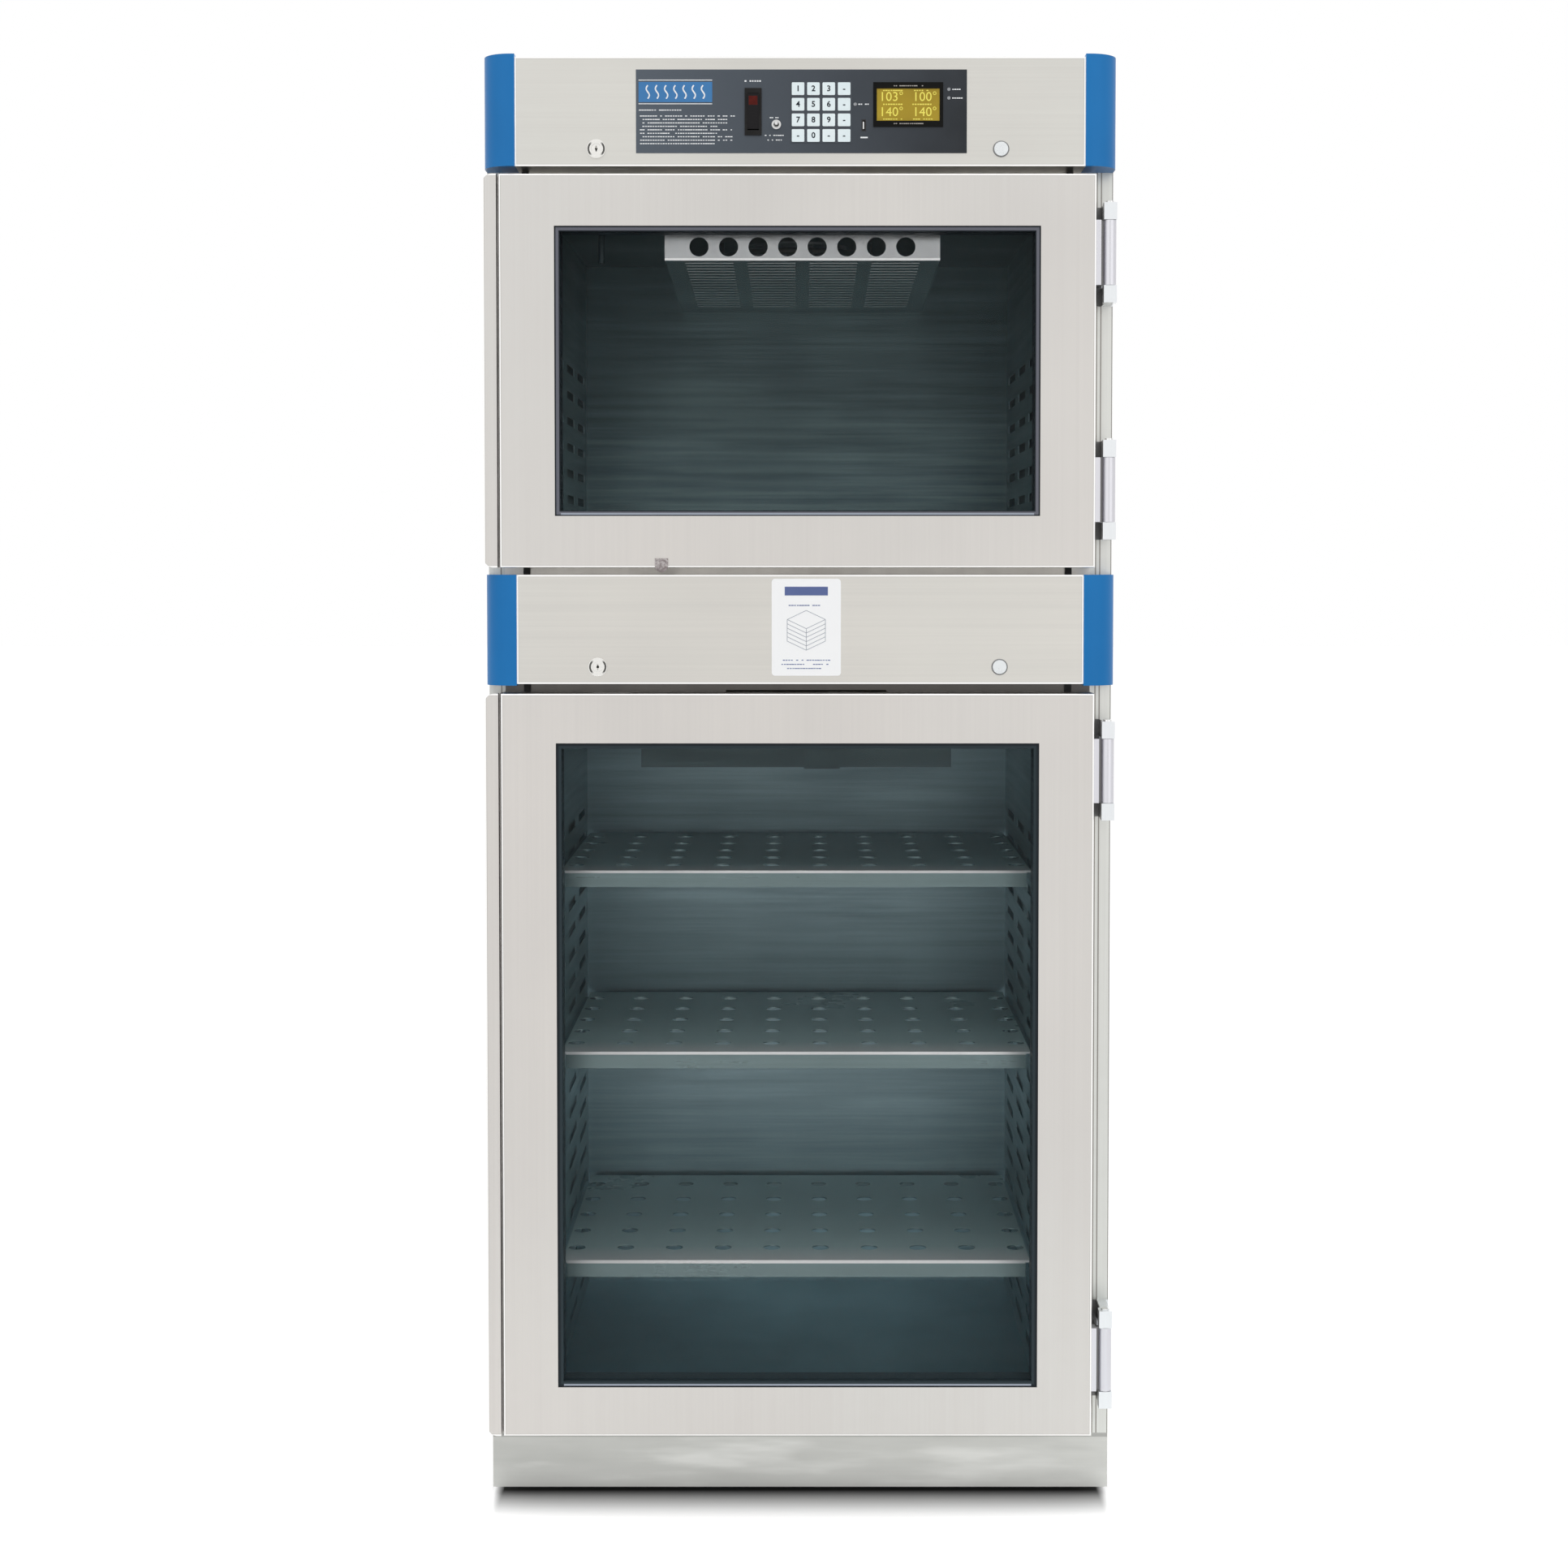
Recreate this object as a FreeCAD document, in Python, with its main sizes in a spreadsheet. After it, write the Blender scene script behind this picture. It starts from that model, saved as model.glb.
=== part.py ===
import FreeCAD, Part
import os
import re
import Sketcher

# Blanket warming cabinet with two heated chambers, one above the other.
# X runs to the viewer's right, the doors face -Y and Z is up. The origin is on the floor,
# in the middle of the footprint. Lengths are millimetres, angles degrees.

doc = FreeCAD.newDocument("WarmingCabinet")
Vector = FreeCAD.Vector
Rotation = FreeCAD.Rotation
Placement = FreeCAD.Placement

# Driving dimensions

driving = {
    # whole cabinet
    "cabinet_width": 762,
    "overall_depth": 683,
    "foot_height": 10,
    "base_height": 68,
    "sill_gap": 14,
    "lower_door_height": 906.6,
    "mid_gap": 11.8,
    "mid_band_height": 131.5,
    "upper_gap": 8.8,
    "upper_door_height": 471.2,
    "header_height": 130,
    # sheet thicknesses
    "shell_sheet": 1.5,
    "frame_sheet": 2,
    "base_sheet": 2,
    "liner_sheet": 1.2,
    # front plane
    "lever_reach": 8,
    "cap_proud": 2,
    "cap_rise": 3.3,
    "cap_drop": 2,
    "cap_width": 39.4,
    "cap_radius": 34,
    "door_thickness": 46,
    "seal_gap": 4,
    # feet
    "foot_radius": 19,
    "foot_inset": 48,
    "stud_radius": 4,
    "stud_clearance": 0.2,
    "stud_length": 16,
    "nut_radius": 8,
    "nut_height": 6,
    # chambers
    "chamber_width": 604,
    "chamber_depth": 520,
    "chamber_shift": -2,
    "duct_gap": 14,
    "floor_build": 34,
    "ceiling_drop": 46,
    "upper_floor_rise": 58,
    "upper_ceiling_drop": 42,
    "wool_thickness": 40,
    "vent_slot_width": 197,
    "vent_slot_height": 5,
    "vent_slot_drop": 10,
    # duct panels
    "louvre_length": 100,
    "louvre_height": 11,
    "louvre_pitch_back": 150,
    "louvre_pitch_up": 34.6,
    "louvre_first_back": 85,
    "louvre_first_up": 32,
    "louvre_columns": 3,
    "lower_louvre_rows": 20,
    "upper_louvre_rows": 6,
    # shelves
    "shelf_width": 594,
    "shelf_depth": 433,
    "shelf_setback": 75,
    "shelf_sheet": 1.5,
    "shelf_lip": 20,
    "shelf_lip_inset": 6,
    "shelf_hole_radius": 11,
    "shelf_hole_pitch_x": 63,
    "shelf_hole_pitch_y": 80,
    "shelf_hole_first": 63,
    "shelf_hole_columns": 10,
    "shelf_hole_rows": 5,
    "shelf_bottom_rise": 158.8,
    "shelf_middle_rise": 425.4,
    "shelf_top_rise": 655.8,
    "bracket_leg": 16,
    "bracket_drop": 18,
    "bracket_inset": 30,
    # air system
    "blower_setback": 260,
    "wheel_radius": 70,
    "wheel_height": 34,
    "wheel_ceiling_gap": 7,
    "wheel_eye_radius": 42,
    "blade_count": 20,
    "blade_sheet": 1.2,
    "shaft_radius": 4,
    "shaft_clearance": 0.05,
    "shaft_grip": 34,
    "motor_radius": 42,
    "motor_height": 62,
    "motor_flange": 110,
    "motor_flange_sheet": 3,
    "shaft_hole_radius": 9,
    "heater_ring_radius": 98,
    "heater_tube_radius": 4,
    "heater_terminal_radius": 3,
    "heater_drop": 22,
    "diffuser_width": 343,
    "diffuser_shift": 8,
    "diffuser_setback": 63,
    "diffuser_front_drop": 46.5,
    "diffuser_back_drop": 65,
    "diffuser_hole_radius": 12,
    "diffuser_hole_pitch": 36.8,
    "diffuser_hole_drop": 30.3,
    "diffuser_hole_count": 8,
    "diffuser_slot_length": 60,
    "diffuser_slot_width": 6,
    "diffuser_slot_land": 18,
    "diffuser_slot_pitch": 22,
    "diffuser_slot_columns": 4,
    "diffuser_slot_rows": 18,
    "plenum_width": 400,
    "plenum_setback": 150,
    "plenum_drop": 60,
    "plenum_outlet_length": 240,
    "plenum_outlet_height": 30,
    "plenum_outlet_shift": 40,
    "plenum_slot_pitch": 14.6,
    "plenum_slot_columns": 2,
    "plenum_slot_rows": 10,
    "probe_guard_width": 46,
    "probe_guard_depth": 25,
    "probe_guard_height": 40,
    "probe_guard_shift": 33,
    "probe_radius": 4,
    "probe_length": 52,
    "probe_inset": 60,
    # doors
    "handle_width": 16.7,
    "handle_slot": 2.9,
    "handle_sheet": 3,
    "handle_depth": 16,
    "handle_flange_length": 38,
    "handle_corner": 12,
    "hinge_margin": 26,
    "window_stile": 66.4,
    "upper_rail": 62,
    "lower_rail": 60,
    "door_edge_radius": 1.2,
    "reveal_depth": 8,
    "trim_width": 6.5,
    "trim_setback": 2,
    "glass_thickness": 4,
    "glass_lap": 15,
    "spacer_inset": 3,
    "liner_return": 6,
    "seal_inset": 23,
    "seal_width": 8,
    "seal_margin": 3,
    "seal_clearance": 0.3,
    # hinges
    "hinge_inset": 93.6,
    "knuckle_radius": 7.8,
    "knuckle_middle": 77.6,
    "knuckle_end": 20.6,
    "knuckle_gap": 0.4,
    "knuckle_side_gap": 1.2,
    "leaf_thickness": 6,
    "leaf_depth": 33,
    "leaf_setback": 1,
    "neck_thickness": 6,
    "pin_radius": 3,
    "pin_clearance": 0.05,
    "pin_head_radius": 5,
    "pin_head_height": 2,
    "arm_width": 12,
    "hinge_plate_sheet": 3,
    "hinge_plate_width": 24,
    # bumper under the upper door
    "bumper_inset": 194.5,
    "bumper_width": 15.7,
    "bumper_height": 16.7,
    "bumper_reach": 5.7,
    "bumper_stem_width": 10,
    "bumper_stem_depth": 12,
    # door locks and blanking plugs
    "lock_inset": 137.1,
    "lock_rise": 20.5,
    "lock_ring_radius": 11.3,
    "lock_ring_height": 1.8,
    "lock_barrel_radius": 9,
    "lock_barrel_length": 20,
    "lock_clearance": 0.1,
    "plug_radius": 6,
    "plug_clearance": 0.08,
    "plug_recess": 0.6,
    "key_slot_width": 1.6,
    "key_slot_height": 7,
    "key_slot_depth": 8,
    "cam_length": 38,
    "cam_width": 14,
    "cam_sheet": 2.5,
    "cam_gap": 0.3,
    "cam_slot_margin": 1.5,
    "blank_inset": 140.6,
    "blank_radius": 9.8,
    "blank_height": 1.9,
    "blank_edge": 1.5,
    "blank_stem_radius": 8,
    "blank_stem_length": 6,
    # control panel, placed from the overlay's lower left corner
    "overlay_width": 395.6,
    "overlay_height": 99.2,
    "overlay_shift": 1.5,
    "overlay_rise": 15.4,
    "overlay_sheet": 0.8,
    "cutout_clearance": 0.2,
    "rocker_across": 140.1,
    "rocker_up": 49.1,
    "rocker_bezel_width": 20.2,
    "rocker_bezel_height": 56,
    "rocker_bezel_proud": 1.2,
    "rocker_body_width": 17,
    "rocker_body_height": 50,
    "rocker_body_depth": 22,
    "rocker_cavity_width": 14,
    "rocker_cavity_height": 44,
    "rocker_cavity_depth": 13,
    "rocker_side_clearance": 0.1,
    "rocker_length": 41.6,
    "rocker_thickness": 6,
    "rocker_pivot_depth": 6.2,
    "rocker_tilt": 6,
    "axle_radius": 1.5,
    "axle_clearance": 0.06,
    "axle_engagement": 1.2,
    "toggle_across": 167.8,
    "toggle_up": 33.9,
    "toggle_nut_radius": 5.6,
    "toggle_nut_height": 1,
    "toggle_barrel_radius": 3.9,
    "toggle_mouth_radius": 3.2,
    "toggle_body_size": 13,
    "toggle_body_depth": 16,
    "toggle_pivot_depth": 5,
    "toggle_ball_clearance": 0.1,
    "lever_root_radius": 1.1,
    "lever_tip_radius": 1.9,
    "keypad_across": 193.8,
    "keypad_up": 20.8,
    "key_pitch_x": 18.35,
    "key_pitch_z": 18.5,
    "key_size": 15,
    "key_height": 0.5,
    "key_corner": 1.2,
    "key_columns": 4,
    "key_rows": 4,
    "keypad_sheet": 0.3,
    "keypad_margin": 1.5,
    "lcd_across": 325.4,
    "lcd_up": 57.5,
    "lcd_bezel_width": 83.4,
    "lcd_bezel_height": 53,
    "lcd_bezel_sheet": 0.9,
    "lcd_width": 75.2,
    "lcd_height": 38.3,
    "lamp_radius": 2,
    "lamp_proud": 0.6,
    "door_lamp_across": 262.1,
    "door_lamp_up": 57.9,
    "heat_lamp_across": 374,
    "heat_lamp_up": 75.6,
    "lamp_pitch": 10.3,
    "port_across": 272.4,
    "port_up": 32.9,
    "port_width": 5,
    "port_height": 13.7,
    "port_wall": 0.9,
    "port_recess": 8,
    "board_setback": 12,
    "board_sheet": 1.6,
    "board_left_across": 180,
    "board_margin": 4,
    "standoff_radius": 3,
    "standoff_inset": 6,
    # information label on the middle band
    "label_width": 83.4,
    "label_height": 116.8,
    "label_shift": 7.4,
    "label_rise": 9.9,
    "label_sheet": 0.5,
    "label_corner": 4,
    # rear
    "rear_cover_depth": 14,
    "rear_cover_width": 600,
    "rear_cover_low": 70,
    "rear_cover_drop": 16,
    "rear_flange": 16,
    "rear_slot_length": 160,
    "rear_slot_height": 5,
    "rear_slot_pitch": 22,
    "rear_slot_rise": 40,
    "rear_slot_spread": 240,
    "rear_slot_rows": 8,
    "back_slot_rise": 5,
    "back_slot_rows": 5,
    "screw_radius": 5,
    "screw_head_height": 2.6,
    "screw_shank_radius": 2,
    "screw_shank_length": 3,
    "screw_hole_clearance": 0.1,
    "inlet_inset": 91,
    "inlet_up": 70,
    "inlet_flange_width": 50,
    "inlet_flange_height": 30,
    "inlet_flange_sheet": 2,
    "inlet_body_width": 30,
    "inlet_body_height": 24,
    "inlet_body_depth": 22,
    "inlet_cavity_width": 25,
    "inlet_cavity_height": 17,
    "inlet_cavity_depth": 16,
    "inlet_pin_width": 2,
    "inlet_pin_height": 4,
    "inlet_pin_length": 13,
    "inlet_pin_spread": 7,
    "inlet_pin_rise": 4,
    "supply_width": 130,
    "supply_depth": 60,
    "supply_height": 70,
    "supply_shift": 180,
}

# Positions that follow from the driving dimensions, from the floor up and from front to back

derived = {
    "side": "cabinet_width / 2",
    "lever_tip": "-overall_depth / 2",
    "cap_front": "lever_tip + lever_reach",
    "door_front": "cap_front + cap_proud",
    "door_back": "door_front + door_thickness",
    "frame_front": "door_back + seal_gap",
    "frame_back": "frame_front + frame_sheet",
    "rear_face": "overall_depth / 2",
    "shell_back": "rear_face - rear_cover_depth",
    "shell_inside": "shell_back - shell_sheet",
    "base_top": "foot_height + base_height",
    "lower_door_low": "base_top + sill_gap",
    "lower_door_high": "lower_door_low + lower_door_height",
    "mid_low": "lower_door_high + mid_gap",
    "mid_high": "mid_low + mid_band_height",
    "upper_door_low": "mid_high + upper_gap",
    "upper_door_high": "upper_door_low + upper_door_height",
    "header_low": "upper_door_high + upper_gap",
    "shell_top": "header_low + header_height",
    "door_left": "-side + handle_width + handle_slot",
    "door_right": "side - hinge_margin",
    "door_middle": "(door_left + door_right) / 2",
    "window_left": "door_left + window_stile",
    "window_right": "door_right - window_stile",
    "chamber_middle": "door_middle + chamber_shift",
    "chamber_left": "chamber_middle - chamber_width / 2",
    "chamber_right": "chamber_middle + chamber_width / 2",
    "liner_left": "chamber_left - duct_gap",
    "liner_right": "chamber_right + duct_gap",
    "liner_back": "frame_back + chamber_depth",
    "lower_floor": "base_top + floor_build",
    "lower_ceiling": "lower_door_high - ceiling_drop",
    "upper_floor": "upper_door_low + upper_floor_rise",
    "upper_ceiling": "upper_door_high - upper_ceiling_drop",
    "lower_deck": "lower_ceiling + wool_thickness",
    "upper_deck": "upper_ceiling + wool_thickness",
    "upper_wool_low": "upper_floor - wool_thickness",
    "shelf_front": "frame_front + shelf_setback",
    "shelf_back": "shelf_front + shelf_depth",
    "blower_y": "frame_back + blower_setback",
    "hinge_x": "side - knuckle_radius - knuckle_side_gap",
    "hinge_y": "door_front + knuckle_radius",
    "hinge_half": "knuckle_middle / 2 + knuckle_gap + knuckle_end",
    "pane_back": "door_front + reveal_depth + glass_thickness",
    "inner_pane_back": "door_back - liner_return",
    "inner_pane_front": "inner_pane_back - glass_thickness",
    "lock_x": "-side + lock_inset",
    "blank_x": "side - blank_inset",
    "cam_front": "door_front + lock_barrel_length + cam_gap",
    "cam_back": "cam_front + cam_sheet",
    "overlay_left": "overlay_shift - overlay_width / 2",
    "overlay_low": "header_low + overlay_rise",
    "overlay_front": "door_front - overlay_sheet",
    "board_front": "door_front + board_setback",
    "rocker_x": "overlay_left + rocker_across",
    "rocker_z": "overlay_low + rocker_up",
    "rocker_bezel_front": "overlay_front - rocker_bezel_proud",
    "rocker_pivot": "rocker_bezel_front + rocker_pivot_depth",
    "toggle_x": "overlay_left + toggle_across",
    "toggle_z": "overlay_low + toggle_up",
    "toggle_front": "overlay_front - toggle_nut_height",
    "toggle_pivot": "door_front + toggle_pivot_depth",
    "keypad_x": "overlay_left + keypad_across",
    "keypad_z": "overlay_low + keypad_up",
    "lcd_x": "overlay_left + lcd_across",
    "lcd_z": "overlay_low + lcd_up",
    "port_x": "overlay_left + port_across",
    "port_z": "overlay_low + port_up",
    "label_x": "label_shift",
    "label_low": "mid_low + label_rise",
    "plenum_front": "frame_back + plenum_setback",
    "diffuser_x": "chamber_middle + diffuser_shift",
    "diffuser_front": "frame_back + diffuser_setback",
    "cover_low": "upper_floor + rear_cover_low",
    "cover_high": "shell_top - rear_cover_drop",
    "inlet_x": "side - inlet_inset",
    "inlet_z": "mid_low + inlet_up",
    "bumper_x": "door_left + bumper_inset",
}

owner = {}


def fill_sheet(name, rows, prefix):
    """Put one value and its alias in each row of a new sheet."""
    sheet = doc.addObject("Spreadsheet::Sheet", name)
    for row, (alias, content) in enumerate(rows.items(), 1):
        sheet.set(f"A{row}", alias)
        sheet.set(f"B{row}", content if prefix == "" else prefix + sized(content))
        sheet.setAlias(f"B{row}", alias)
        owner[alias] = name + "."
    doc.recompute()
    return sheet


def sized(text):
    """An expression on the two sheets, from one written with bare names."""
    return re.sub(r"[a-z][a-z_]+", lambda word: owner.get(word[0], "") + word[0], str(text))


dims = fill_sheet("Dims", {alias: str(number) for alias, number in driving.items()}, "")
layout = fill_sheet("Layout", derived, "=")


def value(text):
    """The number that an expression has now."""
    return float(layout.evalExpression(sized(text)))


def whole(text):
    """The same as a whole number, for a count."""
    return round(value(text))


def bind(item, sizes):
    for field, text in sizes.items():
        item.setExpression(field, sized(text))
    return item


# Part primitives

def box(name, x, y, z):
    """Block between two corners; x, y and z are (low, high) pairs."""
    item = doc.addObject("Part::Box", name)
    return bind(item, {
        "Length": f"({x[1]}) - ({x[0]})",
        "Width": f"({y[1]}) - ({y[0]})",
        "Height": f"({z[1]}) - ({z[0]})",
        "Placement.Base.x": x[0],
        "Placement.Base.y": y[0],
        "Placement.Base.z": z[0],
    })


along = {
    "x": Rotation(Vector(0, 1, 0), 90),
    "y": Rotation(Vector(1, 0, 0), -90),
    "z": Rotation(),
}


def place(item, axis, start):
    item.Placement = Placement(Vector(), along[axis])
    fields = ("Placement.Base.x", "Placement.Base.y", "Placement.Base.z")
    return bind(item, dict(zip(fields, start)))


def rod(name, axis, start, radius, length):
    """Cylinder from a start point towards plus axis."""
    item = doc.addObject("Part::Cylinder", name)
    bind(item, {"Radius": radius, "Height": length})
    return place(item, axis, start)


def cone(name, axis, start, radius, end_radius, length):
    item = doc.addObject("Part::Cone", name)
    bind(item, {"Radius1": radius, "Radius2": end_radius, "Height": length})
    return place(item, axis, start)


def ball(name, centre, radius):
    item = doc.addObject("Part::Sphere", name)
    bind(item, {"Radius": radius})
    return place(item, "z", centre)


def torus(name, centre, ring_radius, tube_radius):
    item = doc.addObject("Part::Torus", name)
    bind(item, {"Radius1": ring_radius, "Radius2": tube_radius})
    return place(item, "z", centre)


def fuse(name, parts):
    item = doc.addObject("Part::MultiFuse", name)
    item.Shapes = parts
    return item


def group(name, parts):
    """Separate solids that share one node."""
    item = doc.addObject("Part::Compound", name)
    item.Links = parts
    return item


def cut(name, base, tools):
    tool = tools[0] if len(tools) == 1 else fuse(name + "_tools", tools)
    item = doc.addObject("Part::Cut", name)
    item.Base = base
    item.Tool = tool
    return item


def ring(name, x, y, z, wall):
    """Rectangular frame in the XZ plane, open along Y, with one wall width."""
    outer = box(name + "_outer", x, y, z)
    inner_x = (f"({x[0]}) + ({wall})", f"({x[1]}) - ({wall})")
    inner_z = (f"({z[0]}) + ({wall})", f"({z[1]}) - ({wall})")
    return cut(name, outer, [box(name + "_inner", inner_x, y, inner_z)])


# PartDesign bodies

plane_roles = {"xy": "XY_Plane", "xz": "XZ_Plane", "yz": "YZ_Plane"}


def new_body(name):
    return doc.addObject("PartDesign::Body", name)


def origin_feature(body, role):
    return next(item for item in body.Origin.OriginFeatures if item.Role == role)


def fix_point(sketch, geometry, position, point):
    """Hold one sketch point at bound distances from the origin."""
    for kind, text in zip(("DistanceX", "DistanceY"), point):
        index = sketch.addConstraint(Sketcher.Constraint(kind, -1, 1, geometry, position, value(text)))
        sketch.setExpression(f"Constraints[{index}]", sized(text))


def add_loop(sketch, points):
    """Closed outline of straight lines through points given as expression pairs."""
    first = sketch.GeometryCount
    count = len(points)
    corners = [Vector(value(point[0]), value(point[1]), 0) for point in points]
    for number in range(count):
        line = Part.LineSegment(corners[number], corners[(number + 1) % count])
        sketch.addGeometry(line, False)
    for number in range(count):
        after = first + (number + 1) % count
        sketch.addConstraint(Sketcher.Constraint("Coincident", first + number, 2, after, 1))
        fix_point(sketch, first + number, 1, points[number])


def add_circle(sketch, centre, radius):
    index = sketch.GeometryCount
    middle = Vector(value(centre[0]), value(centre[1]), 0)
    sketch.addGeometry(Part.Circle(middle, Vector(0, 0, 1), value(radius)), False)
    fix_point(sketch, index, 3, centre)
    number = sketch.addConstraint(Sketcher.Constraint("Radius", index, value(radius)))
    sketch.setExpression(f"Constraints[{number}]", sized(radius))


def rectangle(across, up):
    return [(across[0], up[0]), (across[1], up[0]), (across[1], up[1]), (across[0], up[1])]


def prism(body, kind, plane, low, high, loops=(), circles=()):
    """Pad or Pocket of one sketch, filling the space from low to high across its plane."""
    sketch = body.newObject("Sketcher::SketchObject", "Sketch")
    sketch.AttachmentSupport = (origin_feature(body, plane_roles[plane]), [""])
    sketch.MapMode = "FlatFace"
    start = f"-({high})" if plane == "xz" else low
    sketch.setExpression("AttachmentOffset.Base.z", sized(start))
    for points in loops:
        add_loop(sketch, points)
    for centre, radius in circles:
        add_circle(sketch, centre, radius)
    feature = body.newObject("PartDesign::" + kind, kind)
    feature.Profile = sketch
    if kind == "Pocket":
        feature.Reversed = True
    bind(feature, {"Length": f"({high}) - ({low})"})
    return feature


def pad(body, plane, low, high, loops=(), circles=()):
    return prism(body, "Pad", plane, low, high, loops, circles)


def pocket(body, plane, low, high, loops=(), circles=()):
    return prism(body, "Pocket", plane, low, high, loops, circles)


def repeat(body, feature, role, pitch, count):
    pattern = body.newObject("PartDesign::LinearPattern", "LinearPattern")
    pattern.Originals = [feature]
    pattern.Direction = (origin_feature(body, role), [""])
    bind(pattern, {"Occurrences": count, "Length": f"({pitch}) * ({count} - 1)"})
    body.Tip = pattern
    return pattern


def round_edges(body, radius, chosen):
    """Fillet the edges of the tip for which chosen(edge) is true."""
    doc.recompute()
    tip = body.Tip
    names = [f"Edge{number}" for number, edge in enumerate(tip.Shape.Edges, 1) if chosen(edge)]
    fillet = body.newObject("PartDesign::Fillet", "Fillet")
    fillet.Base = (tip, names)
    bind(fillet, {"Radius": radius})
    return fillet


def runs_along(edge, axis):
    """True for a straight edge that is parallel to an axis."""
    sizes = {"x": edge.BoundBox.XLength, "y": edge.BoundBox.YLength, "z": edge.BoundBox.ZLength}
    return all(length < 1e-6 for name, length in sizes.items() if name != axis)


nodes = []


def node(item, name):
    """Name a finished sub-part; its label is also its file name."""
    item.Label = name
    nodes.append(item)
    return item


def span(low, high):
    return (low, high)


def about(middle, width):
    """(low, high) pair of a width centred on a middle."""
    return (f"{middle} - ({width}) / 2", f"{middle} + ({width}) / 2")


def in_row(middle, number, count, pitch):
    """Centre of one of a row of equal steps that is centred on a middle."""
    return f"{middle} + ({number} - ({count} - 1) / 2) * ({pitch})"


full_width = span("-side", "side")


# Base and feet

def make_base():
    base = new_body("base_frame")
    outline = rectangle(full_width, span("frame_front", "shell_back"))
    pad(base, "xy", "foot_height", "base_top", [outline])
    inside = rectangle(span("-side + base_sheet", "side - base_sheet"),
                       span("frame_front + base_sheet", "shell_back - base_sheet"))
    pocket(base, "xy", "foot_height + base_sheet", "base_top", [inside])
    holes = [(spot, "stud_radius + stud_clearance") for spot in foot_spots]
    pocket(base, "xy", "foot_height", "foot_height + base_sheet", [], holes)
    node(base, "base_frame")


foot_spots = [(x, y)
              for x in ("-side + foot_inset", "side - foot_inset")
              for y in ("frame_front + foot_inset", "shell_back - foot_inset")]


def make_feet():
    feet = []
    for number, (x, y) in enumerate(foot_spots, 1):
        name = f"foot_{number}"
        rubber = rod(name + "_pad", "z", (x, y, "0"), "foot_radius", "foot_height")
        stud = rod(name + "_stud", "z", (x, y, "foot_height"), "stud_radius", "stud_length")
        nut_start = (x, y, "foot_height + base_sheet")
        nut = rod(name + "_nut", "z", nut_start, "nut_radius", "nut_height")
        feet.append(fuse(name, [rubber, stud, nut]))
    node(group("feet_group", feet), "foot_pads")


# Outer shell

def make_shell():
    shell = new_body("outer_shell")
    outer = rectangle(full_width, span("base_top", "shell_top"))
    inner = rectangle(span("-side + shell_sheet", "side - shell_sheet"),
                      span("base_top + shell_sheet", "shell_top - shell_sheet"))
    pad(shell, "xz", "frame_back", "shell_inside", [outer, inner])
    node(shell, "outer_shell")

    back = new_body("back_panel")
    pad(back, "xz", "shell_inside", "shell_back", [outer])
    inlet = rectangle(about("inlet_x", "inlet_body_width + 2 * cutout_clearance"),
                      about("inlet_z", "inlet_body_height + 2 * cutout_clearance"))
    pocket(back, "xz", "shell_inside", "shell_back", [inlet])
    holes = [(spot, "screw_shank_radius + screw_hole_clearance") for spot in cover_screws]
    pocket(back, "xz", "shell_inside", "shell_back", [], holes)
    for deck in ("upper_deck", "lower_deck"):
        low = f"{deck} + back_slot_rise"
        slot = rectangle(about("0", "rear_slot_length"), span(low, f"{low} + rear_slot_height"))
        cut_slot = pocket(back, "xz", "shell_inside", "shell_back", [slot])
        repeat(back, cut_slot, "Z_Axis", "rear_slot_pitch", "back_slot_rows")
    node(back, "back_panel")


def make_face_frame():
    frame = new_body("face_frame")
    loops = [rectangle(full_width, span("base_top", "shell_top"))]
    for low, high in (("lower_floor", "lower_ceiling"), ("upper_floor", "upper_ceiling")):
        loops.append(rectangle(span("chamber_left", "chamber_right"), span(low, high)))
    pad(frame, "xz", "frame_front", "frame_back", loops)
    slot_high = "mid_low - vent_slot_drop"
    slot = rectangle(about("label_x", "vent_slot_width"),
                     span(f"{slot_high} - vent_slot_height", slot_high))
    pocket(frame, "xz", "frame_front", "frame_back", [slot])
    node(frame, "face_frame")


# Chambers

def make_liner(prefix, floor, ceiling):
    """Box liner, open at the front, with a hole for the blower shaft in its ceiling."""
    liner = new_body(prefix + "_liner")
    outer = rectangle(span("liner_left - liner_sheet", "liner_right + liner_sheet"),
                      span(f"{floor} - liner_sheet", f"{ceiling} + liner_sheet"))
    pad(liner, "xz", "frame_back", "liner_back + liner_sheet", [outer])
    inner = rectangle(span("liner_left", "liner_right"), span(floor, ceiling))
    pocket(liner, "xz", "frame_back", "liner_back", [inner])
    hole = (("chamber_middle", "blower_y"), "shaft_hole_radius")
    pocket(liner, "xy", ceiling, f"{ceiling} + liner_sheet", [], [hole])
    node(liner, prefix + "_liner")


def make_wool():
    """Mineral wool block around each liner, with a clear way for the blower shaft."""
    blocks = []
    levels = {
        "lower": ("base_top + shell_sheet", "lower_deck", "lower_floor", "lower_ceiling"),
        "upper": ("upper_wool_low", "upper_deck", "upper_floor", "upper_ceiling"),
    }
    for prefix, (low, high, floor, ceiling) in levels.items():
        block = new_body(prefix + "_wool")
        outer = rectangle(span("-side + shell_sheet", "side - shell_sheet"), span(low, high))
        pad(block, "xz", "frame_back", "shell_inside", [outer])
        inner = rectangle(span("liner_left - liner_sheet", "liner_right + liner_sheet"),
                          span(f"{floor} - liner_sheet", f"{ceiling} + liner_sheet"))
        pocket(block, "xz", "frame_back", "liner_back + liner_sheet", [inner])
        hole = (("chamber_middle", "blower_y"), "shaft_hole_radius")
        pocket(block, "xy", f"{ceiling} + liner_sheet", high, [], [hole])
        blocks.append(block)
    node(group("wool_group", blocks), "insulation")


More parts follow.
